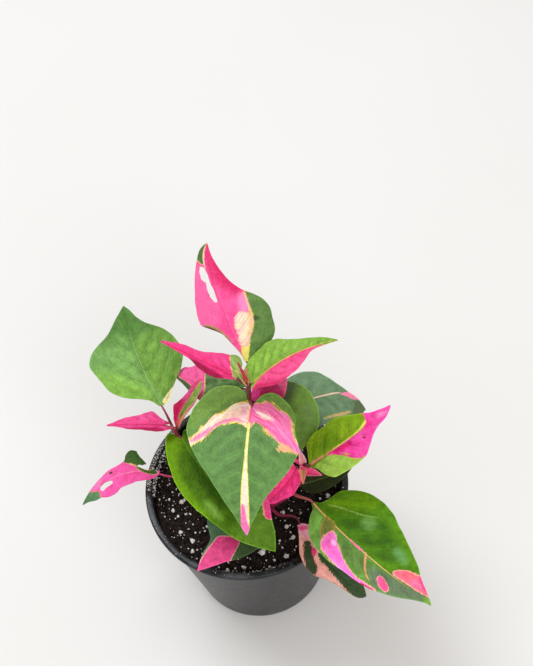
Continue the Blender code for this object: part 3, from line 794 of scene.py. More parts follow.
def midrib(leaf, along):
    """Place, forward, right and up on the leaf's midrib, at distances from the blade's base."""
    share = np.linspace(0, 1, RIB_STEPS + 1)
    forward = direction(between(leaf.heading, share), between(leaf.pitch, share))
    moves = (forward[1:] + forward[:-1]) / 2 * leaf.length / RIB_STEPS
    places = np.array(leaf.at, float) + np.vstack([np.zeros(3), np.cumsum(moves, axis=0)])
    inside = np.clip(along, 0, leaf.length)
    step = inside / leaf.length

    def read(values):
        return np.stack([np.interp(step, share, values[:, k]) for k in range(3)], axis=-1)

    place, ahead = read(places), unit(read(forward))
    side = unit(np.cross(ahead, (0, 0, 1)))
    up = np.cross(side, ahead)
    roll = between(leaf.roll, step)[..., None]
    side, up = side * np.cos(roll) + up * np.sin(roll), up * np.cos(roll) - side * np.sin(roll)
    return place + ahead * (along - inside)[..., None], ahead, side, up


def blade_point(leaf, along, across):
    """The upper surface over flattened coordinates, and the up direction there."""
    place, _, side, up = midrib(leaf, along)
    right = across > 0
    reach = np.abs(across)
    fold = np.radians(np.where(right, leaf.fold[1], leaf.fold[0]))
    bend = np.radians(np.where(right, leaf.curl[1], leaf.curl[0])) / CURL_REACH
    middle = fold + bend * reach / 2
    out = reach * np.cos(middle) * np.where(right, 1, -1)
    return place + side * out[..., None] + up * (reach * np.sin(middle))[..., None], up


def half_outline(leaf, half):
    """One half of the blade's outline as a smooth line of (along, across) points.

    It starts a little to the side of the midrib, turned back so that rows fan out around a heart-shaped
    base.
    """
    angle = (math.atan2(half[0][1], half[0][0]) + math.pi) / 2
    start = (BASE_HALF * math.cos(angle), BASE_HALF * math.sin(angle))
    return smooth_line((start, *half, (leaf.length, TIP_HALF)))


def field_distance(along, across, outline):
    """Distances into a closed outline, in millimetres and positive inside, and its nearest points."""
    corners = np.array(outline, float)
    place = np.stack([along, across], axis=-1)
    best = np.full(along.shape, np.inf)
    nearest = np.zeros(place.shape)
    inside = np.zeros(along.shape, bool)
    for a, b in zip(corners, np.roll(corners, -1, axis=0)):
        edge = b - a
        share = np.clip((place - a) @ edge / max(edge @ edge, 1e-9), 0, 1)
        foot = a + share[..., None] * edge
        gap = np.linalg.norm(place - foot, axis=-1)
        closer = gap < best
        best = np.where(closer, gap, best)
        nearest[closer] = foot[closer]
        crosses = (a[1] > across) != (b[1] > across)
        with np.errstate(divide="ignore", invalid="ignore"):
            meets = a[0] + (across - a[1]) / (b[1] - a[1]) * (b[0] - a[0])
        inside ^= crosses & (along < meets)
    return np.where(inside, best, -best), nearest


def round_outline(outline):
    """A patch's outline with its corners rounded."""
    corners = np.array(outline, float)
    for _ in range(PATCH_ROUNDS):
        after = np.roll(corners, -1, axis=0)
        pairs = [0.75 * corners + 0.25 * after, 0.25 * corners + 0.75 * after]
        corners = np.stack(pairs, axis=1).reshape(-1, 2)
    return corners


def side_veins(leaf, along, across):
    """How many side veins lie between a point and the blade's base, and its distance to the nearest."""
    reach = np.abs(across)
    from_rib = along - leaf.lean * (np.sqrt(reach**2 + 1) - 1) - leaf.bow * reach**2
    phase = from_rib / leaf.gap + 0.25 * np.tanh(across / 2)
    slope = leaf.lean + 2 * leaf.bow * reach
    return phase, np.abs(phase - np.round(phase)) * leaf.gap / np.sqrt(1 + slope**2)


def blade_grid(leaf):
    """The flattened blade's grid, in rows from base to tip that each run from edge to edge.

    It gives each point's share of the way to the tip and to the edges, how far along and across it lies,
    and whether it is hidden in a slit. Such points lie on the slit's outline.
    """
    steps = np.linspace(0, 1, EDGE_STEPS)
    edges = [along_line(half_outline(leaf, half), steps) for half in (leaf.left, leaf.right)]
    rim_length = max(float(np.sum(np.linalg.norm(np.diff(edge, axis=0), axis=1))) for edge in edges)
    rows = round(rim_length / ROW_STEP)
    even = np.linspace(-1, 1, leaf.columns + 1)
    crowded = np.sign(even) * np.abs(even) ** EDGE_CROWD
    share, spread = np.meshgrid(np.linspace(0, 1, rows + 1), crowded, indexing="ij")
    reach = np.abs(spread)
    start = share**ROW_LEAD * leaf.length
    along = np.zeros_like(share)
    across = np.zeros_like(share)
    for on_side, half, sign in ((spread <= 0, leaf.left, -1), (spread > 0, leaf.right, 1)):
        edge = along_line(half_outline(leaf, half), share)
        uneven = 1 + 0.006 * np.sin(31 * share + sign) + 0.004 * np.sin(67 * share + 2 * sign)
        swept = start + (edge[..., 0] - start) * reach**ROW_SWEEP
        along[on_side] = swept[on_side]
        across[on_side] = (edge[..., 1] * spread * uneven)[on_side]
    hidden = np.zeros(share.shape, bool)
    for outline in leaf.slits:
        depth, nearest = field_distance(along, across, outline)
        inside = depth > 0
        hidden |= inside
        along[inside] = nearest[inside][:, 0]
        across[inside] = nearest[inside][:, 1]
    return share, spread, along, across, hidden


def grow_blade(leaf):
    """The blade's points and surface values, for the upper and the lower side together."""
    share, spread, along, across, hidden = blade_grid(leaf)
    reach = np.abs(spread)
    phase, to_vein = side_veins(leaf, along, across)
    clear = np.clip(np.abs(across) / VEIN_CLEAR, 0, 1)
    ends = np.clip(np.sin(math.pi * share), 0, 1) ** 0.5
    puff = leaf.quilt * np.abs(np.sin(math.pi * phase)) ** 0.75 * clear * (1 - reach**4) * ends
    groove = GROOVE * hump(across, GROOVE_HALF) * (1 - 0.75 * share)
    dent = VEIN_DENT * hump(to_vein, DENT_HALF) * clear * (1 - reach**2)

    point, up = blade_point(leaf, along, across)
    height, count, turn = leaf.wave
    side_shift = SIDE_SHIFT * (spread > 0)
    wave = height * np.sin(2 * math.pi * (count * share + turn + side_shift)) * reach**2
    ripple = np.sin(2 * math.pi * (FRILL_RATE * count * share + turn + side_shift))
    frills = FRILL_HEIGHT * ripple * reach**4
    point = point + up * ((wave + frills) * np.sin(math.pi * share))[..., None]
    normal = np.cross(np.gradient(point, axis=1), np.gradient(point, axis=0))
    size = np.linalg.norm(normal, axis=-1, keepdims=True)
    normal = np.where(size > 1e-4, normal / np.maximum(size, 1e-9), up)
    skin = SKIN + (EDGE_SKIN - SKIN) * reach**6
    keel = KEEL * hump(across, KEEL_HALF) * (1 - 0.8 * share)
    ridge = VEIN_RIDGE * hump(to_vein, RIDGE_HALF) * clear * (1 - reach**2)
    upper = point + normal * (puff - groove - dent)[..., None]
    lower = point + normal * (PUFF_BELOW * puff - groove - skin - keel - ridge)[..., None]

    values = {
        "fade": reach**4 + 1 - clear,
        "rib": np.abs(across) / (leaf.rib_half * (1 - 0.7 * share)),
        "margin": np.abs(across / np.where(reach > 0, np.maximum(reach, 1e-6), 1)) * (1 - reach),
    }
    for k, patch in enumerate(leaf.patches):
        values[f"patch_{k}"] = field_distance(along, across, round_outline(patch.outline))[0]
    return upper, lower, phase * leaf.gap, across, hidden, values


def blade_faces(hidden):
    """Faces of both sides and of the rim between them, on a grid with some of its points cut away."""
    rows, columns = hidden.shape
    below = rows * columns
    number = np.arange(below).reshape(rows, columns)
    a, b = number[:-1, :-1], number[:-1, 1:]
    c, d = number[1:, 1:], number[1:, :-1]
    gone = hidden[:-1, :-1] & hidden[:-1, 1:] & hidden[1:, 1:] & hidden[1:, :-1]
    quads = np.stack([a, b, c, d], axis=-1)[~gone]
    edges = np.concatenate([quads[:, [k, (k + 1) % 4]] for k in range(4)])
    key = {(x, y) for x, y in edges.tolist()}
    rim = [(x, y) for x, y in edges.tolist() if (y, x) not in key]
    faces = quads.tolist() + (quads[:, ::-1] + below).tolist()
    faces += [(y, x, x + below, y + below) for x, y in rim]
    return faces


def stalk_line(leaf, stem):
    """The leaf stalk's line, from just inside the stem's skin into the base of the blade."""
    below, axis, above = stem_axis(stem, leaf.node + np.array([-0.5, 0.0, 0.5]))
    thick = float(stem_radius(stem, np.array([leaf.node]))[0])
    grows = unit(above - below)
    base = np.array(leaf.at, float)
    _, ahead, _, up = (v[0] for v in midrib(leaf, np.array([0.0])))
    outward = unit(base - axis - grows * ((base - axis) @ grows))
    rise = math.radians(STALK_RISE)
    leaving = outward * math.cos(rise) + grows * math.sin(rise)
    start = axis + outward * (thick - STALK_INSET)
    span = float(np.linalg.norm(base - start))
    sunk = min(STALK_SUNK, 0.2 * leaf.length)
    middle = up * STALK_DEPTH
    points = [start, start + leaving * STALK_LEAD * span]
    points += [base - ahead * STALK_LEAD * span - middle, base + ahead * STALK_LEAD * sunk - middle]
    points += [midrib(leaf, np.array([sunk]))[0][0] - middle]
    return smooth_line(points)


def read_attribute(tree, name):
    """A value that the mesh holds at its points."""
    return add_node(tree, "ShaderNodeAttribute", attribute_name=name).outputs["Fac"]


def make_patch_group():
    """Lays one coloured field over another, with an edge that strays along the veins and a border line."""
    sockets = dict.fromkeys(("Below", "Colour", "Deep", "Border"), "colour")
    sockets |= dict.fromkeys(("Distance", "Streak", "Mottle", "Width", "Jag", "Soft"), "number")
    tree, given, out = new_group("coloured field", sockets, {"Colour": "colour"})
    depth = calculate(tree, "MULTIPLY_ADD", given["Streak"], given["Jag"], given["Distance"])
    outside = calculate(tree, "MULTIPLY", given["Soft"], -1.0)
    filled = ramp(tree, depth, outside, given["Soft"])
    edged = ramp(tree, calculate(tree, "ADD", depth, given["Width"]), -0.2, 0.2)
    mixed = blend_colours(tree, given["Mottle"], given["Colour"], given["Deep"])
    below = blend_colours(tree, edged, given["Below"], given["Border"])
    tree.links.new(blend_colours(tree, filled, below, mixed), out["Colour"])
    return tree


def make_skin_group():
    """Veins, margin, fine net and paler underside, as lighter and darker tones of a blade's colours, with
    painted light and shade on the swells between the veins.
    """
    sockets = {"Colour": "colour"} | dict.fromkeys(("Phase", "Gap", "Vein", "Margin", "Grain"), "number")
    tree, given, out = new_group("leaf skin", sockets, {"Colour": "colour", "Relief": "number"})

    def line(count, narrow, wide):
        phase = calculate(tree, "MULTIPLY", given["Phase"], count)
        width = calculate(tree, "DIVIDE", given["Gap"], count)
        away = calculate(tree, "MULTIPLY", calculate(tree, "PINGPONG", phase, 0.5), width)
        return ramp(tree, calculate(tree, "ADD", away, fade), narrow, wide, 1.0, 0.0)

    def cells(scale, place):
        sockets = {"Scale": scale, "Vector": place}
        net = add_node(tree, "ShaderNodeTexVoronoi", sockets, feature="DISTANCE_TO_EDGE")
        return net.outputs["Distance"]

    fade = read_attribute(tree, "fade")
    lesser = calculate(tree, "MULTIPLY", line(4, 0.05, 0.35), 0.35)
    on_vein = calculate(tree, "MAXIMUM", line(1, 0.12, 0.6), lesser)
    # Painted light and shade of the quilting: the veins' tone, turned round, spreads over the swells
    # between them, so that with darker veins the swells are painted lighter.
    middle = calculate(tree, "SUBTRACT", calculate(tree, "PINGPONG", given["Phase"], 0.5), fade)
    middle = ramp(tree, middle, 0.05, 0.45, 0.5, -0.5)
    net = cells(NET_SCALE, add_node(tree, "ShaderNodeTexCoord").outputs["Object"])
    place = add_node(tree, "ShaderNodeUVMap", uv_map="veins").outputs[0]
    rungs = cells(1.0, calculate_vector(tree, "MULTIPLY", place, RUNG_STRETCH))
    on_rung = ramp(tree, rungs, 0.02, 0.14, 0.32, 0.0)
    marks = calculate(tree, "ADD", calculate(tree, "ADD", on_vein, on_rung), middle)
    # Painted light and shade: each swell is lighter on one side and darker on the other.
    slope_side = calculate(tree, "SUBTRACT", calculate(tree, "FRACT", given["Phase"]), 0.5)
    painted_slope_shading = calculate(tree, "MULTIPLY", slope_side, ramp(tree, fade, 0.0, 0.8, 0.7, 0.0))
    on_edge = ramp(tree, read_attribute(tree, "margin"), 0.15, 0.6, 1.0, 0.0)
    fine = ramp(tree, net, 0.0, 0.16, -0.5, 0.15)
    broad = ramp(tree, grain_noise(tree, 430.0, 2.0), 0.3, 0.7, -1.0, 1.0)
    tone = 1.0
    parts = [(marks, "Vein"), (painted_slope_shading, "Grain"), (on_edge, "Margin"), (fine, "Grain"), (broad, "Grain")]
    for part, amount in parts:
        tone = calculate(tree, "MULTIPLY_ADD", part, given[amount], tone)
    toned = calculate_vector(tree, "SCALE", given["Colour"], tone)
    kept = calculate_vector(tree, "MINIMUM", toned, BRIGHTEST)
    below = calculate(tree, "MULTIPLY", read_attribute(tree, "under"), UNDERSIDE_SHARE)
    tree.links.new(blend_colours(tree, below, kept, paint(*UNDERSIDE)), out["Colour"])
    raised = ramp(tree, net, 0.0, 0.25)
    relief = calculate(tree, "MULTIPLY_ADD", raised, 0.6, grain_noise(tree, 2400.0, 2.0))
    relief = calculate(tree, "ADD", relief, ramp(tree, rungs, 0.0, 0.35, 0.0, 1.6))
    tree.links.new(relief, out["Relief"])
    return tree


FIELD = make_patch_group()
SKIN_PAINT = make_skin_group()


def leaf_material(name, leaf):
    """The blade's own material: tissue, each of the coloured fields, the midrib, and then the skin."""
    made, tree, shader = new_material(name, specular=leaf.gloss)
    place = add_node(tree, "ShaderNodeUVMap", uv_map="veins").outputs[0]
    stretched = calculate_vector(tree, "MULTIPLY", place, STREAK_STRETCH)
    streak = ramp(tree, grain_noise(tree, 1.0, 3.0, stretched), 0.3, 0.7, -1.0, 1.0)
    ragged = ramp(tree, grain_noise(tree, 1.6, 2.0, place), 0.3, 0.7, -0.5, 0.5)
    streak = calculate(tree, "ADD", streak, ragged)
    finer = calculate_vector(tree, "MULTIPLY", place, BAND_STRETCH)
    along_veins = ramp(tree, grain_noise(tree, 1.0, 4.0, finer), 0.40, 0.62)
    mottle = ramp(tree, grain_noise(tree, 190.0, 5.0, rough=0.6), 0.36, 0.66)
    light = calculate(tree, "MULTIPLY", mottle, leaf.shade)
    colour = blend_colours(tree, light, paint(*leaf.colour), paint(*leaf.deep))
    over_rib = ramp(tree, read_attribute(tree, "rib"), 0.6, 1.3, 1.0, 0.0)
    on_rib = calculate(tree, "MULTIPLY", over_rib, leaf.rib_strength)
    for k, patch in enumerate(leaf.patches + (None,)):
        if k == min(leaf.rib_over, len(leaf.patches)):
            colour = blend_colours(tree, on_rib, colour, paint(*leaf.rib))
        if patch:
            sockets = {
                "Below": colour,
                "Distance": read_attribute(tree, f"patch_{k}"),
                "Streak": streak,
                "Mottle": along_veins if patch.streaky else mottle,
                "Colour": paint(*patch.colour),
                "Deep": paint(*(patch.deep or patch.colour)),
                "Border": paint(*(patch.border or patch.colour)),
                "Width": patch.width if patch.border else FAR_OFF,
                "Jag": patch.jag,
                "Soft": patch.soft,
            }
            colour = use_group(tree, FIELD, sockets)["Colour"]
    counted = add_node(tree, "ShaderNodeSeparateXYZ", {0: place}).outputs[0]
    sockets = {
        "Colour": colour,
        "Phase": calculate(tree, "DIVIDE", counted, leaf.gap),
        "Gap": leaf.gap,
        "Vein": leaf.vein,
        "Margin": leaf.margin,
        "Grain": leaf.grain,
    }
    skin = use_group(tree, SKIN_PAINT, sockets)
    tree.links.new(skin["Colour"], shader.inputs["Base Color"])
    # Painted light: the blade gives off light in its own colour, in place of the light that comes through
    # it from behind.
    if leaf.glow:
        tree.links.new(skin["Colour"], shader.inputs["Emission Color"])
        shader.inputs["Emission Strength"].default_value = leaf.glow
    smooth = 0.56 - 0.4 * leaf.gloss
    rough = ramp(tree, grain_noise(tree, 330.0, 3.0), 0.3, 0.7, smooth - 0.05, smooth + 0.07)
    tree.links.new(rough, shader.inputs["Roughness"])
    add_bump(tree, shader, skin["Relief"], 0.00012)
    return made


def make_leaf_object(name, leaf, stem=None):
    """A blade as one object, with its stalk where a stem is given for it to grow from."""
    upper, lower, row, across, hidden, values = grow_blade(leaf)
    points = np.concatenate([upper.reshape(-1, 3), lower.reshape(-1, 3)])
    faces = blade_faces(hidden)
    count = len(points)
    materials = [leaf_material(f"{name} blade", leaf)]
    blade_face_count = len(faces)
    if stem:
        steps = np.linspace(0, 1, STALK_RINGS)
        line = along_line(stalk_line(leaf, stem), steps)
        radii = STALK_RADIUS * (STALK_FLARE - STALK_TAPER * steps)
        more, sides = tube(line, radii, STALK_SIDES, STALK_RIDGES)
        points = np.concatenate([points, more])
        faces = faces + [tuple(k + count for k in face) for face in sides]
        low, high = sorted((line[0][2], line[-1][2]))
        ends = leaf.stalk if line[-1][2] >= line[0][2] else leaf.stalk[::-1]
        materials.append(stalk_material(f"{name} stalk", *ends, low, max(high, low + 1)))
    obj = new_object(name, points, faces, materials)
    mesh = obj.data
    mesh.polygons.foreach_set("material_index", [int(k >= blade_face_count) for k in range(len(faces))])

    def over_all(on_upper, on_lower, rest):
        full = np.full(len(points), rest, np.float32)
        full[: count // 2] = on_upper.ravel()
        full[count // 2 : count] = on_lower.ravel()
        return full

    held = {label: over_all(on_blade, on_blade, FAR_OFF) for label, on_blade in values.items()}
    held["under"] = over_all(0 * row, 1 + 0 * row, 0)
    for label, at_points in held.items():
        mesh.attributes.new(label, "FLOAT", "POINT").data.foreach_set("value", at_points)
    corners = np.zeros(len(mesh.loops), np.int32)
    mesh.loops.foreach_get("vertex_index", corners)
    place = np.stack([over_all(row, row, 0), over_all(across, across, 0)], axis=-1)
    mesh.uv_layers.new(name="veins").data.foreach_set("uv", place[corners].ravel())
    work = bmesh.new()
    work.from_mesh(mesh)
    loose = [v for v in work.verts if not v.link_faces]
    bmesh.ops.delete(work, geom=loose, context="VERTS")
    work.to_mesh(mesh)
    work.free()
    shade_mesh(mesh)
    return obj


# The stems
# Three soft shoots that stand in the soil, dark red where they are older and pink near their tips, with a
# swollen ring at each pair of leaves. Each ends in small folded leaflets that haven't opened yet.

STEM_FOOT = 60.0
STEM_SIDES = 20
STEM_RINGS = 90
STEM_RIDGES = 0.03
NODE_SCAR = 0.18
SCAR_WIDTH = 0.5
SCAR_RISE = 0.6

PINK = (250, 72, 147)
HOT_PINK = (232, 18, 102)
DEEP_PINK = (176, 14, 74)


@dataclass
class Stem:
    """One shoot. It stands upright in the soil and then follows its points.

    nodes are the heights at which leaves grow, and old and young the colours at its foot and its tip.
    """

    points: tuple
    nodes: tuple
    radius: float
    tip_radius: float
    old: tuple
    young: tuple


STEMS = {
    "stem_centre": Stem(
        points=((0, -3, 82), (3, 0, 101), (8, 6, 130), (9, 8.2, 150), (9, 6.8, 167)),
        nodes=(92, 115, 133, 150), radius=1.9, tip_radius=0.7,
        old=(78, 20, 26), young=(96, 34, 36),
    ),
    "stem_left": Stem(
        points=((-21, 4, 82), (-23, 7, 96), (-26.5, 13, 115), (-28.3, 17, 126)),
        nodes=(89, 107), radius=1.8, tip_radius=0.9,
        old=(88, 20, 30), young=(150, 40, 60),
    ),
    "stem_right": Stem(
        points=((6, -12.5, 82), (10.5, -14.5, 89), (18, -16, 98), (25, -15.5, 111), (27.6, -14.3, 122)),
        nodes=(87, 101), radius=1.9, tip_radius=0.9,
        old=(112, 14, 50), young=(226, 60, 124),
    ),
}


def leaflet(stem, height, heading, pitch, length, half, core, edge):
    """A small folded leaflet with a coloured edge, whose base lies inside the stem."""
    centre = stem_axis(stem, np.array([height]))[0]
    ahead = direction(math.radians(heading), math.radians(pitch))
    outline = ((0.3 * length, half), (0.6 * length, 0.75 * half))
    inner = ((-1, 0.4 * half), (0.3 * length, 0.75 * half), (0.6 * length, 0.5 * half), (0.9 * length, 0))
    mirrored = tuple((along, -across) for along, across in inner[:-1])
    return Leaf(
        at=tuple(centre - ahead * 0.5), heading=(heading, heading + 8), pitch=(pitch, pitch - 15),
        length=length, left=outline, right=outline, fold=(32, 32), wave=(0, 1, 0), columns=20, gap=3.0,
        colour=edge, deep=edge, rib=core, rib_half=0.25,
        patches=(Patch(inner + mirrored[::-1], core),),
    )


LEAFLETS = {
    "stem_centre": (
        (166.5, 112, 76, 13, 0.8, (196, 70, 80), (170, 44, 60)),
        (166.5, 128, 58, 9, 1.8, (156, 192, 92), (206, 190, 120)),
        (166.5, 70, 70, 8, 1.2, (140, 176, 80), (222, 96, 120)),
    ),
    "stem_left": ((125.5, 230, 65, 4, 1.4, PINK, DEEP_PINK),),
    "stem_right": (
        (121.5, 95, 66, 9, 2.0, (232, 160, 160), (250, 176, 196)),
        (121.5, 160, 50, 7, 2.0, PINK, HOT_PINK),
        (119.0, -105, -4, 8, 2.2, (214, 160, 112), (238, 128, 132)),
        (116.5, -22, -4, 10, 2.8, (246, 70, 136), (240, 108, 140)),
    ),
}


def make_stem(name, stem):
    """A stem with the scars of its nodes, joined with the leaflets of its tip."""
    top = stem.points[-1][2]
    heights = np.linspace(STEM_FOOT, top, STEM_RINGS)
    radii = stem_radius(stem, heights)
    for node in stem.nodes:
        radii = radii - NODE_SCAR * hump(heights - node - SCAR_RISE, SCAR_WIDTH)
    radii[-2:] *= (0.8, 0.35)
    label = name.replace("stem", "shoot")
    skin = stalk_material(f"{label} skin", stem.old, stem.young, SOIL_TOP, top)
    points, faces = tube(stem_axis(stem, heights), radii, STEM_SIDES, STEM_RIDGES)
    core = new_object(f"{label}_core", points, faces, [skin])
    shade_mesh(core.data)
    parts = [core]
    for k, row in enumerate(LEAFLETS[name]):
        parts.append(make_leaf_object(f"{label}_leaflet_{k}", leaflet(stem, *row)))
    return join_parts(label, parts)


for stem_name, stem in STEMS.items():
    settle(make_stem(stem_name, stem), "stem", stem_name)


# The leaves of the centre shoot
# Eight leaves on the tallest shoot: a pink and green pair at its crown, a large heart-shaped leaf in front
# with a pink band and a cream stripe, a twisted pink leaf behind, and shaded green and pink ones below,
# two of which have painted shade in their colours.

SALMON = (246, 168, 150)
CREAM = (250, 232, 190)

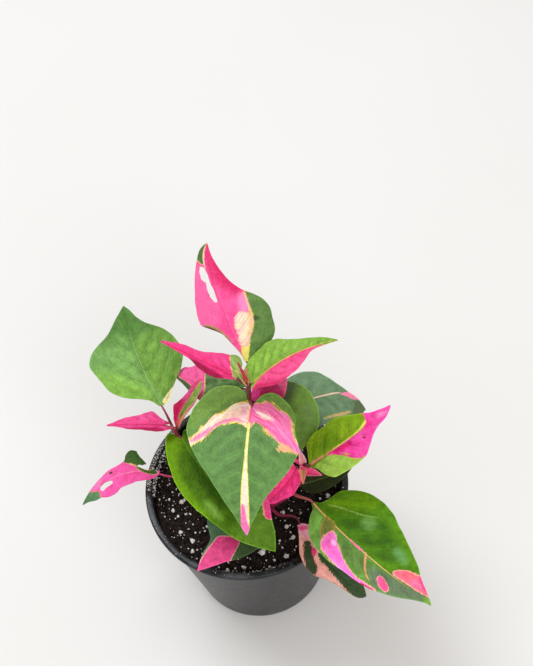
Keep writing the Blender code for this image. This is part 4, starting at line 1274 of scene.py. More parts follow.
CENTRE_LEAVES = {
    "leaf_top_back": Leaf(
        node=151, at=(11, 15, 172), heading=(110, 85), pitch=(45, -12), length=62,
        left=((6, 1.2), (8.5, 2.4), (14, 4.7), (17.5, 6.8), (19.8, 10), (21, 13.1), (24, 13.2), (30, 12),
              (38, 9.6), (50, 6), (58, 3)),
        right=((0.5, 4.5), (2, 11.5), (6, 16.5), (12, 18.3), (20, 18.6), (27, 14.8), (31, 10.6), (38, 6),
               (50, 2)),
        fold=(12, 12), roll=(-6, -6),
        slits=(((47.5, -4.8), (46.9, -3.1), (42.6, -2.2), (38.9, -2.2), (34.8, -1.5), (28.9, -1.5),
                (28.8, -3.1), (31.9, -4.3), (35.3, -4.6), (38.6, -4.1), (40.8, -5.9), (44.4, -5.9)),),
        slot="leaf_pink", colour=PINK, deep=(252, 96, 160), shade=0.7, vein=-0.07, margin=0.0,
        rib=(252, 130, 170), rib_strength=0.4, grain=0.05,
        patches=(
            Patch(((18, -1), (50, -1), (46, -14), (18, -17)), (251, 100, 162), soft=2.0),
            Patch(((30, 11), (30, 22), (16, 27), (-4, 22), (-4, 2.5), (-0.5, -0.5), (6, 4.5), (9.5, 6),
                   (12.5, 9), (16.5, 10.5), (19.5, 11), (24, 11), (28.5, 11.5)), (98, 137, 61),
                  deep=(82, 120, 48), border=(232, 224, 100), width=1.0),
            Patch(((28.5, 8), (32.5, 3.5), (38.5, -0.5), (46.5, -1.5), (54, -1), (65, -1), (65, 6),
                   (46, 9), (38, 12), (32, 15), (30, 12)), (220, 10, 98), jag=0.3, soft=3.4),
            Patch(((30, 10), (25.5, 11), (20, 10), (20.5, 6.5), (24, 6), (28.5, 8)), (253, 134, 190),
                  soft=1.6),
            Patch(((21.5, 5), (20, 9), (17, 10.5), (14.5, 9.5), (10.5, 6.5), (7, 4), (6, 1), (8, 0.5),
                   (13.5, 2), (17, 1.5)), CREAM, deep=(252, 196, 190), border=(250, 170, 170), width=0.5,
                  jag=0.45, soft=0.6, streaky=True),
            Patch(((22.5, 10.5), (19, 11), (16.5, 10.5), (12.5, 8.5), (9.5, 6), (10, 5), (14.5, 7.5),
                   (18, 9)), (240, 196, 130), jag=0.6, soft=0.7),
            Patch(((7, 0.3), (5.5, 4.3), (-0.5, 0.3), (0, -1.5), (3, -1)), YELLOW),
            Patch(((18, 11), (15.5, 13.5), (14.3, 12), (15, 10)), (56, 84, 34), soft=0.5),
            Patch(((21.4, -12), (20.3, -9.4), (18.2, -6.5), (14.6, -4.2), (10, -2.3), (10, -2.7),
                   (14.2, -4.8), (17.6, -7), (19.8, -10), (20.8, -12.2)), (150, 150, 66), jag=0.05,
                  soft=0.12),
            Patch(((20.8, -12.2), (19.8, -10), (17.6, -7), (14.2, -4.8), (9, -2.4), (9, -4), (13.5, -6),
                   (17, -8), (19, -11), (20, -13)), (112, 60, 50), jag=0.05, soft=0.12),
            Patch(((52.4, -6.2), (56, -9), (66, -4), (66, 0), (62.6, -0.1), (57, -1.6), (52, -2.6),
                   (47.8, -2.9), (48.2, -4.1), (50, -5.2)), (80, 112, 42), border=(226, 206, 110),
                  width=0.3),
            Patch(((62, -0.1), (57, -1.5), (50, -2.6), (45, -2.4), (45.5, -2.8), (50.5, -3.2),
                   (56.5, -2.2)), (252, 214, 186), jag=0.05, soft=0.15),
        ),
    ),
    "leaf_crown_left": Leaf(
        node=165, at=(5, 10, 168), heading=(151, 134), pitch=(28, -8), length=39,
        left=((2.5, 3), (9, 7), (16.5, 6), (22, 2.6), (32, 1.2)),
        right=((0.5, 7), (3.5, 9), (8, 7.5), (19.5, 3.8), (26.5, 3), (33, 1.8)),
        fold=(28, 28), slot="leaf_pink", columns=44, gap=6.0, lean=1.8, quilt=0.4, colour=(255, 58, 138),
        deep=(255, 90, 162), shade=0.5, grain=0.06, vein=-0.3, margin=-0.1, rib=(196, 36, 88), glow=0.08,
        patches=(
            Patch(((21, -1.5), (12.5, -3), (5.5, -3.5), (2, -9), (12, -12), (26, -6)), DEEP_PINK,
                  soft=1.3),
            # Painted light: this pale green field is lightened beyond its own colour where it lies in
            # shade.
            Patch(((8, 9.5), (3.5, 12), (-3, 9), (-3, -1.5), (0.5, -0.5), (2.5, 1), (5, 4.5)),
                  (176, 208, 112), deep=(140, 180, 84), border=(244, 190, 140), width=0.4),
        ),
    ),
    "leaf_crown_right": Leaf(
        node=165, at=(11.4, 6.0, 167.6), heading=(14, 5.5), pitch=(39, -12), length=43.4,
        left=((-2.4, 3.2), (-0.8, 5.6), (3.1, 8.3), (6.9, 9.6), (11.4, 10.2), (15.1, 10.6), (18.9, 9.6),
              (24.4, 6.8), (32.2, 4.1), (38.2, 2.2)),
        right=((-1.6, 2.6), (3.4, 6.1), (7.7, 8.9), (11.9, 11.2), (16.1, 11), (20.9, 9.6), (26.4, 6),
               (30.9, 2.6), (36.9, 1.4)),
        fold=(18, 18), curl=(-12, -12), slot="leaf_pink", gap=5.0, lean=0.6, bow=0.04, quilt=0.5,
        colour=(143, 191, 68), deep=(120, 170, 52), shade=0.6, grain=0.09, vein=-0.22, margin=0.0,
        rib=(232, 190, 92), rib_strength=0.85, rib_half=0.36, rib_over=1,
        patches=(
            Patch(((-8, 0), (48, 0), (48, 24), (-8, 24)), (255, 88, 150), deep=(250, 66, 136),
                  border=(236, 200, 104), width=0.3, jag=0.1, soft=0.15),
            Patch(((-2, 2.5), (3, 3), (8.5, 7.5), (13, 10), (16.5, 10.5), (22, 14), (6, 18), (-6, 7)),
                  (228, 40, 106), soft=0.9),
        ),
    ),
    "leaf_front_heart": Leaf(
        node=151, at=(9, 2.6, 152), heading=(-108, -102), pitch=(10, -62), length=60,
        left=((-4.5, 1.6), (-8.3, 4.5), (-9.3, 8.3), (-7.5, 12.5), (-4, 16.2), (3, 20), (12, 21),
              (20, 23), (28, 20), (42, 9), (53, 3)),
        right=((-5.2, 2.2), (-9, 4.8), (-11.8, 8), (-12.6, 12.7), (-11.2, 18.5), (-5, 24), (3, 27),
               (13, 28), (22, 24), (36, 14), (50, 5)),
        curl=(-18, -18), columns=72, gap=8.0, lean=0.15, bow=0.034, colour=(96, 138, 70),
        deep=(83, 125, 57), shade=0.7, grain=0.11, vein=0.22, margin=0.5, rib=CREAM, rib_strength=0.9,
        patches=(
            Patch(((-4.5, 1), (-3, 5.5), (-2, 11), (2.5, 13), (7.5, 20), (15, 28), (8, 34), (-16, 30),
                   (-18, 5), (-9, 0)), (112, 150, 60), deep=(98, 136, 52), soft=1.5),
            Patch(((-3, -1), (-4, -6.5), (-3.5, -8.5), (0.5, -12), (2, -16), (5.5, -18.5), (11.5, -19.5),
                   (17, -22), (17, -30), (-14, -26), (-14, -3), (-9, 0)), (110, 149, 60),
                  deep=(96, 136, 50), soft=1.5),
            Patch(((-3.5, 0), (-3, 1.5), (-2, 5), (-1, 9), (1.5, 9.5), (4.5, 13), (6, 17), (9.5, 18),
                   (11.5, 21.5), (13, 21.5), (15.5, 25), (17.5, 27), (18.5, 31), (22, 29), (19, 25.5),
                   (17, 20), (15, 18.5), (11, 14.5), (9, 10.8), (7.6, 6.6), (8, 3.6), (9.8, 1.4),
                   (10.2, -0.5)), (253, 226, 190), deep=(254, 196, 184), border=(240, 206, 84), width=0.6,
                  jag=0.7, streaky=True),
            Patch(((18, 29), (14.5, 21.5), (11, 17.5), (8, 12), (6, 6.5), (6.5, 1.5), (8, 3), (7.5, 6.5),
                   (9, 10.5), (11, 14.5), (15, 18.5), (18, 24)), (250, 104, 166), deep=(252, 164, 196),
                  jag=0.6, soft=0.5, streaky=True),
            Patch(((-1.5, 5), (-2.5, 1), (8, 0.6), (6.5, 4)), (255, 186, 190), jag=0.7, soft=0.9),
            Patch(((-3, 0.5), (-2.5, -2.5), (-4, -6.5), (-3.5, -8.5), (0.5, -12), (2, -16), (5.5, -18.5),
                   (11.5, -19.5), (17.5, -22), (19, -27), (23, -27), (21, -21), (18.6, -17.4),
                   (16.7, -14.2), (13.6, -11.2), (11.3, -8), (8.6, -5.6), (7.2, -2.4), (9.4, -1),
                   (10.2, 0)), (254, 134, 184), deep=(250, 84, 154), border=(244, 190, 96), width=0.65,
                  jag=0.7, streaky=True),
            Patch(((0.5, -2), (1.5, -5), (4, -9), (6.5, -12), (6, -8.4), (4, -4.5)), (253, 214, 196),
                  jag=0.9, soft=0.6),
            Patch(((-4, 0.5), (-4, -0.5), (8, -0.4), (9, 0.3)), (246, 92, 156), jag=0.1, soft=0.3),
            Patch(((8, 0.1), (20, 0.2), (28, 0.5), (36, 1.3), (46, 1.7), (54, 1.4), (60.5, 0.8),
                   (60.5, -0.8), (54, -1.2), (46, -1.4), (36, -1.1), (28, -0.4), (20, -0.2), (8, -0.1)),
                  (252, 222, 200), border=(234, 230, 112), width=0.45, jag=0.08, soft=0.15),
            Patch(((44, 2.2), (45, 0.2), (54, -0.5), (56, -2.2), (63, -2), (63, 2)), (250, 116, 176),
                  jag=0.1, soft=0.5),
            Patch(((19.5, -13.5), (17.5, -15), (18.5, -16.5), (19, -19.5), (21, -20), (21, -15)),
                  (232, 164, 124), border=(170, 164, 80), width=0.35, jag=0.6, soft=0.5),
        ),
    ),
    "leaf_back_left": Leaf(
        node=134, at=(5, 23.5, 137.5), heading=(170, 123), pitch=(10, -25), length=35,
        left=((-7, 2.5), (-5, 6), (-0.5, 8.6), (6, 10.6), (12, 11), (19, 7), (26, 3.5), (31, 2)),
        right=((-7.5, 3), (-5.5, 6.4), (-1.5, 8.2), (4, 8.6), (10, 9), (19, 9.5), (25, 8.6), (29, 6),
               (33, 5)),
        slot="leaf_pink", columns=44, gap=5.5, colour=(250, 96, 164), deep=(240, 62, 132), shade=0.5,
        grain=0.06, vein=-0.15, margin=0.0, rib=(196, 96, 86), rib_strength=0.4,
        patches=(
            Patch(((19, 13), (18.5, 6.5), (16.5, 2), (14, -4), (14, -8), (12, -14), (-10, -14),
                   (-10, 13)), DARK_GREEN, deep=LEAF_GREEN, border=(242, 196, 150), width=0.5),
            Patch(((37, -0.4), (28.5, -1), (22, -2.5), (17, -5.5), (14, -9), (28, -12), (38, -4)),
                  (62, 90, 36), border=SALMON, width=0.25),
        ),
    ),
    "leaf_shaded_small": Leaf(
        node=138, at=(12, 13, 140.5), heading=(9, 28), pitch=(35, 0), length=18,
        left=((-2, 3.2), (4, 7), (9, 7.6), (14, 4.5)),
        right=((-2.6, 2.8), (3, 5.6), (8, 8), (12, 7.4), (15.5, 3.6)),
        # Painted shade: the deep magenta is the leaf's pink darkened for the shade of the crown leaves over
        # it.
        fold=(12, 12), slot="leaf_pink", columns=36, gap=4.5, quilt=0.3, colour=(206, 22, 106),
        deep=(164, 6, 76), shade=0.7, vein=-0.25, margin=0.3, rib=DEEP_PINK,
        patches=(
            Patch(((1.5, -7.5), (4.5, -6), (2, 4), (-3, 3), (-3, -4)), (246, 60, 150), soft=0.8),
            Patch(((13, -10), (19, -4), (19, 6), (12, 10), (13, 0)), (236, 90, 140), soft=1.0),
        ),
    ),
    "leaf_right_round": Leaf(
        node=128, at=(15.5, 12.5, 131.5), heading=(-47, -70), pitch=(5, -40), length=26,
        left=((-4, 6), (-4, 12), (-1, 17), (4, 19.3), (9, 19.6), (14, 18), (18.5, 15), (21.7, 11.5),
              (23.5, 6)),
        right=((1, 3.5), (6, 8), (15, 10), (22, 6)),
        slot="leaf_dark_green", columns=48, gap=7.5, colour=(99, 137, 44), deep=(79, 114, 30), shade=0.6,
        vein=0.12, margin=0.9, rib=(120, 150, 84), rib_strength=0.4,
        patches=(
            # Painted shadow: the dark field at the base's left is the shade of the heart-shaped leaf over
            # it.
            Patch(((-8, 4), (5, -3), (7, -9), (6, -14), (3, -24), (-10, -22), (-10, 0)), (46, 66, 18),
                  soft=2.5),
            Patch(((10, -14), (13.5, -16), (18.5, -13), (18, -9), (13, -9.5)), (100, 130, 62), soft=2.5),
        ),
    ),
    "leaf_right_back": Leaf(
        node=115, at=(18, 19, 118), heading=(20, -26), pitch=(14, -46), length=52,
        left=((6, 8), (12, 11), (19, 13), (27, 11.5), (33, 8.2), (36.5, 6.4), (39.5, 4.8), (46, 2.7)),
        right=((-1, 5), (3, 13), (12, 18.5), (22, 19), (33, 16.4), (40, 12.6), (46, 8), (50, 3.8)),
        fold=(10, 10), colour=(108, 140, 103), deep=(90, 122, 82), shade=0.6, vein=0.14, margin=0.25,
        rib=(120, 152, 112), rib_strength=0.3,
        patches=(
            Patch(((12, 6.4), (21.5, 2.4), (30, -0.2), (36.5, -2.4), (36.5, -3.1), (30, -1), (21.5, 1.5),
                   (12, 5.4)), (240, 202, 176), jag=0.05, soft=0.15),
            Patch(((35, -2.2), (39, -3.4), (42.5, -5.6), (47, -5), (47, -2.4), (44.5, -1.4), (40, -1.5),
                   (37, -1.9)), (249, 132, 168), soft=0.3),
            Patch(((25, 14.4), (30, 12.5), (36, 10), (42, 6.4), (42.4, 7.2), (36.5, 11.2), (30, 13.6),
                   (25, 15)), (214, 170, 120), border=(150, 164, 88), width=0.5, soft=0.5),
            Patch(((45, 3), (44, -0.6), (47, -3), (54, -3), (56, 4), (46, 12), (36, 15), (41, 9.6)),
                  (88, 106, 66), soft=1.2),
        ),
    ),
}


def make_leaves(stem, leaves):
    """Every leaf of a shoot, each fixed as what shows of its CAD node."""
    for node, leaf in leaves.items():
        obj = make_leaf_object(node.replace("leaf_", "") + "_leaf", leaf, stem)
        settle(obj, leaf.slot, node)


make_leaves(STEMS["stem_centre"], CENTRE_LEAVES)


# The leaves of the left shoot
# Five leaves: a broad light green one behind, a long green one that lies under the heart-shaped leaf, two
# small pink ones at the tip, and a low one, pink and dark green, that something has eaten holes in.

ORANGE = (232, 150, 76)

LEFT_LEAVES = {
    "leaf_left_back": Leaf(
        node=119, at=(-32, 28, 130), heading=(111, 90), pitch=(30, -5), length=56,
        left=((0.5, 1.6), (3, 3), (6, 6), (9, 12), (12.5, 16.5), (16.5, 19.5), (23, 21.5), (28, 23),
              (32.5, 21.5), (36.5, 17), (41, 10.5), (49, 4.5)),
        right=((-0.8, 2.9), (1, 5.6), (3.3, 7.7), (5.8, 10.2), (8.8, 13.6), (12.1, 17), (17, 19.8),
               (25.2, 20.4), (30, 19.2), (36, 15.4), (41.4, 9.1), (46, 5.6), (52, 2.8)),
        fold=(10, 10), curl=(-10, -10), slot="leaf_pale_green", columns=64, gap=9.0, lean=0.85,
        quilt=0.55, colour=(128, 178, 88), deep=(104, 154, 72), shade=0.8, vein=-0.17,
        rib=(160, 198, 124), rib_strength=0.8, rib_half=0.34, rib_over=1,
        stalk=((96, 20, 28), (168, 70, 62)),
        patches=(
            Patch(((-6, 0), (58, 0), (58, 26), (-6, 26)), (119, 166, 61), deep=(99, 148, 48), jag=0.5,
                  soft=1.0),
            Patch(((36, -30), (36, 30), (60, 12), (60, -12)), (84, 135, 48), deep=(74, 122, 40),
                  soft=8.0),
            Patch(((24, -16), (18, -9.5), (11.5, -3), (4, -1.5), (-4, -1.5), (-4, -8), (6, -20),
                   (16, -27), (24, -27)), (142, 194, 74), deep=(126, 178, 66), jag=1.0, soft=5.0),
            Patch(((5, 9.6), (4.4, 7.2), (3.2, 5), (1.5, 1.8), (0, 0.8), (-3, 2), (-3, 8), (3, 10)),
                  (248, 240, 170), jag=0.3),
        ),
    ),
    "leaf_under_heart": Leaf(
        node=120, at=(-25.5, 12, 121.5), heading=(-74, -48), pitch=(8, -32), length=71,
        left=((-4, 3), (-2, 7), (3, 11), (8, 15), (20, 20), (36, 19), (48, 15.5), (53, 14), (60, 9.2),
              (66, 5.2)),
        right=((-6.2, 4), (-5.2, 5.9), (-3, 7.2), (2.6, 9.6), (10.5, 12), (19.3, 14), (28.6, 14.4),
               (42, 12), (54, 9.5), (64, 4.5)),
        fold=(12, 12), curl=(-14, -14), columns=64, colour=(74, 113, 8), deep=(58, 96, 4), shade=0.7,
        vein=0.12, margin=0.7, rib=(120, 156, 60), rib_strength=0.3, gloss=0.12,
        patches=(
            # The first three fields are painted light and shade: a lit band by the right edge, painted
            # shade along the midrib, and a painted highlight.
            Patch(((-7, 8), (-6, 1), (-3.3, -1.6), (4.4, 1.9), (7, 5.5), (15.3, 10), (26.9, 11.2),
                   (40, 10), (41, 15), (22, 18), (4.9, 14)), (101, 146, 8), soft=2.2),
            Patch(((9.7, 0.8), (14.2, -0.9), (26.7, -0.9), (36.7, 0.6), (42, 4), (28, 5.2), (19, 4.4)),
                  (46, 80, 0), soft=2.8),
            Patch(((33, 8.7), (35, 6.5), (41, 6.3), (44.3, 7.8), (41, 9.2), (36.7, 9.5)), (122, 168, 62),
                  soft=2.2),
            Patch(((50, -18), (50, 16), (76, 10), (76, -10)), (98, 140, 40), deep=(84, 126, 24), jag=2.0,
                  soft=5.0),
            Patch(((48.5, -13.4), (50, -18), (58, -16), (61, -10), (57, -7.6), (53, -10.5)),
                  (242, 74, 134), border=SALMON, width=0.5),
        ),
    ),
    "leaf_left_small": Leaf(
        node=125, at=(-33, 18.8, 126.5), heading=(176, 162), pitch=(20, -12), length=27,
        left=((-3.6, 2.2), (-0.8, 4.8), (5.5, 5.7), (13.5, 4.2), (20, 2.2)),
        right=((-3.4, 1), (-1.7, 2), (1, 3.4), (5, 6), (9.5, 5.2), (16.5, 3.6), (22, 1.8)),
        fold=(30, 30), slot="leaf_pink", columns=36, gap=5.0, lean=1.4, quilt=0.3, colour=(252, 88, 160),
        deep=(248, 56, 134), shade=0.6, grain=0.06, vein=-0.34, margin=0.0, rib=(190, 24, 92), glow=0.1,
        stalk=((130, 20, 48), (186, 44, 84)),
        patches=(
            Patch(((10, -8), (20, -6), (20, -2.4), (9, -3), (0, -2), (0, -8)), (196, 24, 92), soft=0.9),
            Patch(((-1, 6), (-6, 5), (-6, -5), (-1.5, -6)), (206, 50, 96), soft=1.5),
        ),
    ),
    "leaf_left_upright": Leaf(
        node=124, at=(-26.4, 17.35, 124.5), heading=(30, 37), pitch=(65, 30), length=28.5,
        left=((5.5, 3.6), (10.5, 5.5), (14, 3.8), (19, 2.7), (24.5, 2)),
        right=((4, 2.2), (10.5, 4.6), (15.5, 5.7), (20, 6.5), (24.5, 5.6)),
        fold=(35, 35), slot="leaf_pink", columns=36, gap=5.0, lean=1.2, colour=(253, 92, 162),
        deep=(250, 60, 138), shade=0.6, grain=0.06, vein=-0.2, margin=-0.1, rib=(240, 150, 110),
        patches=(
            Patch(((17, 8), (12, 8), (3, 5), (-2, 1), (4, -1), (8.5, 0.5)), (242, 150, 124),
                  border=ORANGE, width=0.3),
            Patch(((28.5, 1), (27, 5), (21.5, 6.2), (16, 4.8), (8.5, 0.8), (4, -0.6), (8, -1.2),
                   (16, -0.2), (23, 0)), (150, 184, 84), deep=(126, 162, 62), border=(244, 190, 120),
                  width=0.3),
            Patch(((14, -6), (17, -2.2), (10, -1.6), (0, -1.6), (1, -8), (11, -9)), (226, 16, 96),
                  soft=0.7),
        ),
    ),
    "leaf_left_low": Leaf(
        node=89, at=(-41, 12, 94), heading=(160, 220), pitch=(18, -28), length=43,
        left=((3.5, 4.5), (7.5, 5.5), (12, 6), (16, 7.3), (20, 7.8), (24, 9.5), (28.5, 9), (33.5, 6),
              (36.5, 5), (40, 2)),
        right=((1, 2.5), (5, 6.5), (9, 9.5), (12.5, 11.2), (15, 8.8), (16, 6.2), (21, 5), (24, 4.5),
               (28, 3), (32, 2), (37, 1.2)),
        slits=(((31.5, -2), (30.5, -0.5), (27.5, 0), (25, -0.5), (23.5, -2), (24.5, -3.5), (27.5, -3.5),
                (30.5, -4)),
               ((0.5, 0.6), (3.5, 1.1), (6, 0.7), (8, 1.2), (10, 2.2), (10.6, 2.9), (10, 3.4), (8, 3),
                (6.5, 4), (9.3, 7.5), (10.5, 10), (9, 14), (-3, 9))),
        slot="leaf_pink", columns=52, colour=(255, 94, 178), deep=(252, 64, 148), shade=0.7, grain=0.08,
        vein=-0.13, margin=-0.1, rib=(252, 160, 190), stalk=((130, 20, 48), (226, 70, 124)),
        patches=(
            Patch(((37, 4), (36.5, 0.9), (34, -0.5), (31, 0), (27.5, 1.5), (27, 6)), (253, 128, 192),
                  soft=0.8),
            Patch(((15.8, 5.6), (14.5, 4.8), (11.5, 3.2), (10, 2.6), (5, 2.6), (3, 9), (12, 15), (18, 9)),
                  (54, 92, 16), border=SALMON, width=0.3),
            Patch(((14, 5), (11.5, 3), (8, 1), (5, 0.4), (3, 1.6), (0, 0), (2.5, -1.5), (6.5, -1.3),
                   (10, 1), (13, 3.8)), (62, 98, 34), border=YELLOW, width=0.15),
            Patch(((38, 4), (36.5, 0.9), (32, -2.5), (33, -5), (36, -9), (48, -3), (47, 4)),
                  (92, 140, 98), deep=(80, 122, 60), border=ORANGE, width=0.3),
            Patch(((22.5, 2.2), (23.5, 2.2), (23.9, 2.7), (23.5, 3.2), (22.5, 3.2), (22.1, 2.7)),
                  (70, 34, 26), border=(170, 90, 80), width=0.25, jag=0.0, soft=0.1),
        ),
    ),
}
make_leaves(STEMS["stem_left"], LEFT_LEAVES)


# The leaves of the right shoot
# Six leaves on the pink shoot that leans to the right: a pink and lime leaf at the tip and a puckered red
# one beside it, a long green one in front with pink fields, and three low ones: a small green one, near
# black with painted shade, a salmon one with dark green fields, and a slate green one with a pink end.

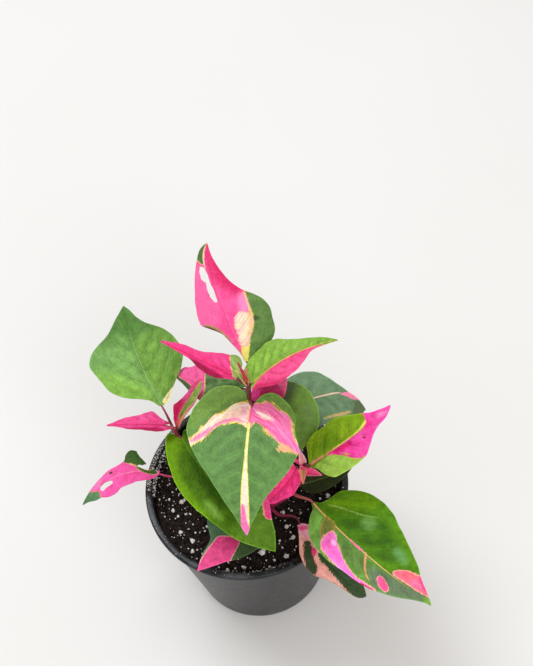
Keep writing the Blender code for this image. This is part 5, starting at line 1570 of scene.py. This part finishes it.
RIGHT_LEAVES = {
    "leaf_right_upper": Leaf(
        node=122, at=(30.5, -17.5, 126), heading=(6, 34), pitch=(35, -5), length=47,
        left=((1.5, 5.5), (3.5, 9.5), (9, 11.5), (15, 11.4), (20, 11.5), (25.5, 10), (33.5, 6),
              (37.5, 3.3), (42, 1.6)),
        right=((3, 4.5), (5.5, 9.5), (9, 13.5), (14, 14.5), (19, 14.2), (23, 13.4), (26, 11), (30, 7.5),
               (35, 4.7), (41, 3.3), (45, 1.4)),
        fold=(14, 14), curl=(-8, -8), slot="leaf_pale_green", quilt=0.45, gloss=0.12,
        colour=(138, 174, 24), deep=(112, 154, 14), shade=0.6, vein=-0.18, margin=0.3,
        rib=(232, 196, 110), rib_strength=0.9, rib_over=1,
        patches=(
            Patch(((-6, 0), (52, 0), (52, 22), (-6, 22)), (172, 210, 88), deep=(150, 192, 70), jag=0.1,
                  soft=0.2),
            Patch(((8.5, -7.5), (17, -7.5), (18, -1), (10, -0.4), (5, -2)), (98, 138, 12), soft=4.0),
            Patch(((-1, 0.7), (-1, -0.7), (8, -0.6), (8, 0.6)), (240, 150, 130), soft=0.2),
            Patch(((10, 0), (16, 0.4), (23, 0.4), (28, 0.4), (31, 0), (33.5, -2), (34.5, -8), (50, -6),
                   (51, 6), (37, 9), (31, 13), (25, 17), (23.5, 13), (20, 12), (18.5, 10.5), (18, 7.5),
                   (15, 4.5), (10.5, 2)), (255, 60, 162), deep=(255, 88, 176), border=ORANGE, width=0.4,
                  jag=0.7),
            Patch(((11, 0.5), (16.5, 0.9), (22.5, 1.2), (21.5, 4.5), (16, 4.6)), (242, 34, 124),
                  soft=1.0),
            Patch(((38.5, -1.5), (43, 0), (43.5, 2), (37.5, 1.8)), (253, 140, 200), soft=1.2),
            Patch(((12, -0.3), (20, -0.2), (26.5, -0.2), (33.4, -2.4), (32.6, -0.9), (28, 0.3), (23, 0.4),
                   (12, 0.2)), (222, 234, 96), jag=0.1, soft=0.15),
            Patch(((26.6, 4.3), (27.6, 4.1), (28.3, 5.2), (27.4, 5.9)), (150, 40, 50), jag=0.0),
        ),
    ),
    "leaf_right_puckered": Leaf(
        node=115.5, at=(23.7, -14.6, 119.6), heading=(-128, -178), pitch=(-8, -48), length=22.4,
        left=((2, 3.6), (5, 5.9), (9, 6.3), (14, 4.6), (18.5, 2.8)),
        right=((-2, 3), (1, 5), (7, 5.4), (14, 6.4), (18.8, 4.6)),
        wave=(1.0, 3.0, 0.3), slot="leaf_pink", columns=44, gap=4.6, quilt=0.7, colour=(255, 62, 144),
        deep=(252, 34, 108), shade=0.6, grain=0.06, vein=-0.3, margin=0.1, rib=(206, 16, 84), glow=0.3,
    ),
    "leaf_right_low": Leaf(
        node=101, at=(26, -12, 98), heading=(-3, 19), pitch=(10, -10), length=26,
        left=((3, 3.5), (10, 6), (17, 5.5)),
        right=((1, 4), (6, 7), (13, 6), (20, 3.5)),
        # Painted shade: the near-black green is the leaf's green darkened for the shade of the leaves over
        # it.
        slot="leaf_dark_green", columns=36, gap=6.0, colour=(34, 46, 8), deep=(22, 32, 4), gloss=0.2,
        vein=0.3, margin=0.4, rib=(110, 120, 60), rib_strength=0.4,
    ),
    "leaf_front_right": Leaf(
        node=101, at=(29, -26, 104), heading=(-68, -38), pitch=(16, -34), length=74,
        left=((2.5, 2.5), (4.5, 5), (4.5, 9), (4.5, 13), (7, 16.5), (10, 19), (15.5, 22), (23, 23.5),
              (32, 22.5), (41, 19.5), (51, 15), (58.5, 11), (64, 6.5), (70, 3)),
        right=((3.5, 2.5), (6, 6), (9.5, 9.5), (14.5, 13), (19.5, 14.5), (24.5, 15), (27.5, 15), (33, 14),
               (38, 13.5), (45, 12.5), (51.5, 10.5), (58, 7.5), (64, 4), (70, 1.2)),
        fold=(12, 12), curl=(-10, -10), columns=72, gap=11.0, lean=0.6, bow=0.035, quilt=0.55,
        colour=(89, 138, 14), deep=(66, 114, 2), shade=0.8, vein=0.28, margin=0.3, rib=(242, 186, 128),
        rib_strength=0.95, rib_over=1, gloss=0.14, stalk=((140, 52, 62), (196, 116, 104)),
        patches=(
            Patch(((-6, 0), (80, 0), (80, 24), (-6, 24)), (106, 152, 70), deep=(86, 130, 44), jag=0.1,
                  soft=0.2),
            # The next six fields are painted light and shade: lighter fields by the base, painted shade
            # along the midrib's left, two painted highlights, and painted shade on the right half.
            Patch(((1, 1), (10, 1), (14, 7), (14, 16), (4, 14), (-2, 8)), (124, 178, 74), soft=1.8),
            Patch(((4, -3), (9, -15.6), (16, -24), (25, -24), (24, -17), (18, -11), (11, -5)),
                  (100, 148, 8), soft=3.0),
            Patch(((12.5, -2.5), (17.8, -8), (28, -17), (36, -18), (45, -14), (54, -9), (48, -3),
                   (35, -2), (22, -2)), (56, 100, 8), deep=(70, 116, 14), soft=3.4),
            Patch(((24, -10.5), (27, -14), (31.5, -13.2), (30.1, -9.4), (27, -8.6)), (112, 160, 76),
                  soft=2.6),
            Patch(((44.5, -10), (48, -12.4), (54, -9.6), (52.5, -7.2), (47.5, -7.6)), (104, 156, 84),
                  soft=2.2),
            Patch(((24.7, 3.9), (31, 1.5), (37, 1.5), (42, 8.9), (35.5, 9.4), (28.9, 7.3)), (92, 126, 60),
                  soft=2.0),
            Patch(((10, 0), (12, 3.5), (15, 7.5), (17.8, 10), (18.5, 5.5), (18.5, 2.5), (17, -0.4),
                   (12, -0.6)), (124, 130, 56), border=(206, 150, 76), width=0.3, jag=0.5),
            Patch(((40.5, 3.5), (45, 2.5), (51, 0.5), (59, -0.5), (65.5, -2), (72, -1.5), (70, 1),
                   (62, 5), (53.5, 9.5), (47.5, 10.5), (44, 8.5)), (100, 121, 90), soft=2.0),
            Patch(((6, -4.6), (8.8, -6.4), (12.5, -8.4), (16.5, -9.9), (23.4, -12.7), (30, -16.9),
                   (29.6, -16.2), (23.4, -12.2), (16.5, -9.3), (12.5, -7.6), (8.8, -5.6), (6, -4.1)),
                  (156, 192, 88), jag=0.05, soft=0.35),
            Patch(((21, 12.4), (18.8, 9.7), (17.9, 5.9), (18.3, 2.6), (22.6, 4.7), (27.6, 8), (33.6, 11),
                   (39, 12.2), (44.8, 11.5), (49.5, 11), (50, 13.6), (41, 14.8), (33, 14.3), (27, 13.6),
                   (24, 13.2)), (252, 100, 190), deep=(251, 130, 204), border=SALMON, width=0.5, jag=0.4),
            Patch(((38, 13.6), (41, 13.2), (44.5, 11.9), (50.5, 10.9), (51, 16), (40, 18), (34, 17)),
                  DEEP_PINK, soft=0.4),
            Patch(((21, 6.6), (22.6, 5.4), (24.6, 7), (23.6, 8.2)), (253, 180, 222), soft=0.9),
            Patch(((35, -0.6), (36.8, -0.6), (38.4, 2.2), (40.4, 5.7), (43, 8.2), (45.5, 9.6), (43, 9),
                   (39.8, 6.3), (37.4, 2.8), (36.2, 0.4)), (230, 160, 112), jag=0.1),
            Patch(((46.6, 5.5), (48, 3.8), (50.5, 4.8), (53.4, 6.5), (53.4, 8.7), (50.5, 8.8),
                   (48.2, 7.7)), (240, 84, 140), border=SALMON, width=0.35),
            Patch(((50.5, -1), (52.5, -3.5), (56.5, -6), (60, -6.6), (64, -9), (71, -7), (73.5, -2.6),
                   (67, -2), (63.5, -1.5), (59, -1.5), (54.5, -1)), (252, 118, 160), deep=(246, 104, 112),
                  border=SALMON, width=0.5),
            Patch(((62, -8), (62.5, -5.5), (67, -3.6), (72, -2.4), (72, -8)), (236, 60, 130), soft=0.8),
            Patch(((26.5, 0.4), (26.5, -0.4), (35, -0.6), (35, 0.6)), (250, 120, 160), soft=0.3),
            Patch(((70.8, -2.2), (76, -2), (76, 2), (70, 1.4), (68.5, -0.5)), (112, 152, 62)),
        ),
    ),
    "leaf_front_right_low": Leaf(
        node=87, at=(21, -30, 93), heading=(-78, -33), pitch=(8, -45), length=48,
        left=((3, 4), (12, 8), (26, 8), (38, 5), (45, 2.4)),
        right=((6, 3.5), (9.3, 5.6), (13.2, 8.2), (18, 9.7), (23, 9.4), (27.8, 6.4), (34.2, 5),
               (38.4, 4.5), (43.3, 3.8), (46.5, 2)),
        fold=(10, 10), slot="leaf_pink", columns=52, colour=(250, 186, 172), deep=(240, 164, 154),
        shade=0.8, vein=-0.1, margin=-0.2, rib=(240, 190, 176), glow=0.1,
        stalk=((150, 30, 70), (110, 30, 40)),
        patches=(
            Patch(((-2, 2), (-2, -4), (2, -6), (8, -2), (8, 2.4)), (250, 176, 196), soft=1.0),
            Patch(((0, 1), (2.5, -2.8), (4.2, -2), (3, 2.6)), (246, 84, 150), soft=0.8),
            Patch(((9, 2.6), (10.3, 0), (13.5, 1.3), (20, 5), (23, 7), (22.4, 10), (19.6, 10),
                   (15.2, 7.8)), (58, 72, 44), deep=(44, 62, 30), border=(186, 120, 104), width=0.4,
                  jag=0.5),
            Patch(((12.8, 1.2), (15, -0.6), (18, 3.2), (16, 3.4)), (240, 60, 130), soft=0.4),
            Patch(((16.5, 0.5), (19.5, -3), (26, -8), (40, -10), (50, -3), (49, 1), (42.6, 3.7),
                   (39, 4.2), (36.5, 3.6), (30.5, 2.6), (23, 1.7), (18.5, 1.7)), (60, 84, 54),
                  deep=(50, 80, 26), border=(160, 146, 104), width=0.3, jag=0.5),
        ),
    ),
    "leaf_front_low": Leaf(
        node=87, at=(4, -17.5, 92), heading=(-148, -139), pitch=(14, -8), length=43,
        left=((2, 7), (9, 14), (16, 16), (25, 13.5), (31, 9), (37, 5)),
        right=((2, 6), (9, 13), (16, 16), (21, 14), (25, 9), (28, 5), (36, 3)),
        slot="leaf_pink", colour=(78, 110, 78), deep=(64, 96, 62), shade=0.6, vein=0.15, margin=0.5,
        rib=(220, 120, 140), rib_strength=0.4,
        patches=(
            Patch(((15, -3), (19, -6), (26, -9), (44, -10), (34, -22), (4, -22), (4, -6)), (58, 84, 42),
                  soft=1.0),
            Patch(((24.5, 3.6), (21, -0.5), (18.5, -6), (25, -8.5), (30.5, -9.5), (34, -13), (48, -6),
                   (48, 1.5), (43, 0.9), (37.5, 2), (31.5, 2.8), (27, 3)), (228, 72, 136),
                  deep=(210, 52, 116), border=(226, 190, 166), width=0.25, jag=0.12),
        ),
    ),
}
make_leaves(STEMS["stem_right"], RIGHT_LEAVES)


# The dust and crumbs on the rim
# Specks of perlite and crumbs of soil that were spilled on the rim while the plant was potted, the small
# clump of soil that clings to it under the front leaves, and the grains that cling to the wall inside it.

WALL_INSIDE = 45.9
WALL_BAND = 0.5
WALL_LOW = 82.0
WALL_RISE = 5.0
HEAP_INSIDE = 43.0
HEAP_OUTSIDE = 46.1
HEAP_HEIGHT = 1.0
HEAP_SLOPE = 0.6
CLUMP_LIFT = 0.2
RIM_INSIDE = POT_RIM_RADIUS - RIM_WIDTH
FIRST_SEED = 31


def on_the_rim(x, y):
    return POT_HEIGHT


def over_the_rim(x, y):
    return POT_HEIGHT + CLUMP_LIFT


def up_the_wall(x, y):
    """The height of the grains that cling to the pot's wall, which rises over a narrow band inside it."""
    return WALL_LOW + WALL_RISE * (math.hypot(x, y) - WALL_INSIDE) / WALL_BAND


def heaped(x, y):
    """The height of the grains that are heaped along the wall."""
    return soil_height(x, y) + HEAP_HEIGHT + HEAP_SLOPE * (math.hypot(x, y) - HEAP_INSIDE)


RIM_SURFACE = ring_surface(RIM_INSIDE + 0.7, POT_RIM_RADIUS - 0.7, on_the_rim)
specks = scatter(
    "rim_specks", RIM_SURFACE, CRUMBS, PERLITE_PAINT,
    density=130000.0, smallest=0.00015, largest=0.0005, lift=0.00002, roughness=0.0001, seed=21,
)
spilled = scatter(
    "spilled_soil", RIM_SURFACE, CRUMBS, SOIL_PAINT,
    density=50000.0, smallest=0.0003, largest=0.0010, lift=0.00005, roughness=0.0003, seed=8,
)

INNER_WALL = (WALL_INSIDE, WALL_INSIDE + WALL_BAND, up_the_wall)
HEAPED = (HEAP_INSIDE, HEAP_OUTSIDE, heaped)
ON_THE_RIM = (RIM_INSIDE + 0.4, POT_RIM_RADIUS - 0.8, on_the_rim)
BY_THE_RIM = (RIM_INSIDE + 0.3, POT_RIM_RADIUS + 0.2, over_the_rim)
CLINGING = (
    (INNER_WALL, 128, 46, PERLITE_PAINT, 1000000.0, 0.0001, 0.0011),
    (INNER_WALL, -42, 18, PERLITE_PAINT, 300000.0, 0.0001, 0.0008),
    (INNER_WALL, -116, 36, PERLITE_PAINT, 250000.0, 0.0001, 0.0008),
    (HEAPED, -118, 44, PERLITE_PAINT, 1500000.0, 0.0001, 0.0009),
    (HEAPED, 140, 40, PERLITE_PAINT, 300000.0, 0.0001, 0.0008),
    (BY_THE_RIM, -73, 9, SOIL_PAINT, 3000000.0, 0.0005, 0.0018),
    (ON_THE_RIM, 130, 42, PERLITE_PAINT, 5000000.0, 0.0001, 0.0006),
    (ON_THE_RIM, 125, 50, SOIL_PAINT, 500000.0, 0.0002, 0.0006),
    (ON_THE_RIM, 172, 36, PERLITE_PAINT, 300000.0, 0.0001, 0.0005),
    (ON_THE_RIM, -24, 40, PERLITE_PAINT, 500000.0, 0.0001, 0.0005),
)
strewn = [specks, spilled]
for k, (surface, start, turn, material, density, smallest, largest) in enumerate(CLINGING):
    part = ring_surface(*surface, sides=12, start=start, turn=turn)
    sizes = {"smallest": smallest, "largest": largest, "roughness": 0.0004}
    seed = FIRST_SEED + k
    strewn.append(scatter(f"clinging_{k}", part, CRUMBS, material, density=density, seed=seed, **sizes))
settle(join_parts("rim_specks_all", strewn), "soil")


# The floor, the light and the camera
# A plain pale floor and soft daylight from a wide window and the room. The camera stands over the plant's
# front, where the photograph was taken from.

FLOOR_HALF = 3.0
FOCAL_PIXELS = 1214.0
FRAME_HEIGHT = 666.0
SENSOR = 36.0
VIEW_DISTANCE = 600.0
VIEW_HEIGHT = 62.35
VIEW_TURN = 4.16
VIEW_DIP = 55.57
VIEW_ROLL = -8.07
DAYLIGHT = (1.0, 0.985, 0.97)
DAYLIGHT_STRENGTH = 0.60
PLANT_MIDDLE = (0.0, 0.0, 0.12)


def make_floor():
    corners = [(-1, -1), (1, -1), (1, 1), (-1, 1)]
    points = [(x * FLOOR_HALF / MM, y * FLOOR_HALF / MM, 0) for x, y in corners]
    made, tree, shader = new_material("pale floor", roughness=0.8, specular=0.2)
    soft = ramp(tree, grain_noise(tree, 3.0, 2.0), 0.3, 0.7)
    colour = blend_colours(tree, soft, paint(231, 229, 226), paint(234, 232, 230))
    tree.links.new(colour, shader.inputs["Base Color"])
    floor = new_object("floor", points, [(0, 1, 2, 3)], [made])


def add_light(name, place, size, power, colour):
    """A round area light in metres and watts, turned to the plant's middle."""
    light = bpy.data.lights.new(name, "AREA")
    light.shape = "DISK"
    light.size = size
    light.energy = power
    light.color = colour
    obj = add_object(name, light)
    obj.location = place
    obj.rotation_euler = (Vector(PLANT_MIDDLE) - Vector(place)).to_track_quat("-Z", "Y").to_euler()


def make_light():
    world = bpy.data.worlds.new("room")
    world.use_nodes = True
    background = world.node_tree.nodes["Background"].inputs
    background[0].default_value = (*DAYLIGHT, 1.0)
    background[1].default_value = DAYLIGHT_STRENGTH
    bpy.context.scene.world = world
    add_light("window", (-0.4, 0.6, 1.5), size=0.9, power=13.0, colour=(0.93, 0.965, 1.0))
    add_light("room_front", (0.3, -1.1, 1.2), size=1.2, power=9.0, colour=DAYLIGHT)


def make_camera():
    """The photograph's camera, from its distance, the angles that it looks along and its lens."""
    high, turn = math.radians(VIEW_HEIGHT), math.radians(VIEW_TURN)
    dip, roll = math.radians(VIEW_DIP), math.radians(VIEW_ROLL)
    place = Vector((0, -VIEW_DISTANCE * math.cos(high), POT_HEIGHT + VIEW_DISTANCE * math.sin(high))) * MM
    ahead = Vector((math.sin(turn) * math.cos(dip), math.cos(turn) * math.cos(dip), -math.sin(dip)))
    level = Vector((math.cos(turn), -math.sin(turn), 0))
    over = level.cross(ahead)
    right = math.cos(roll) * level + math.sin(roll) * over
    up = -math.sin(roll) * level + math.cos(roll) * over
    camera = bpy.data.cameras.new("camera")
    camera.sensor_width = SENSOR
    camera.lens = FOCAL_PIXELS / FRAME_HEIGHT * SENSOR
    camera.clip_start = 0.01
    obj = add_object("camera", camera)
    turned = Matrix((right, up, -ahead)).transposed()
    obj.matrix_world = Matrix.Translation(place) @ turned.to_4x4()
    bpy.context.scene.camera = obj


make_floor()
make_light()
make_camera()
bpy.context.scene.view_settings.view_transform = "Standard"
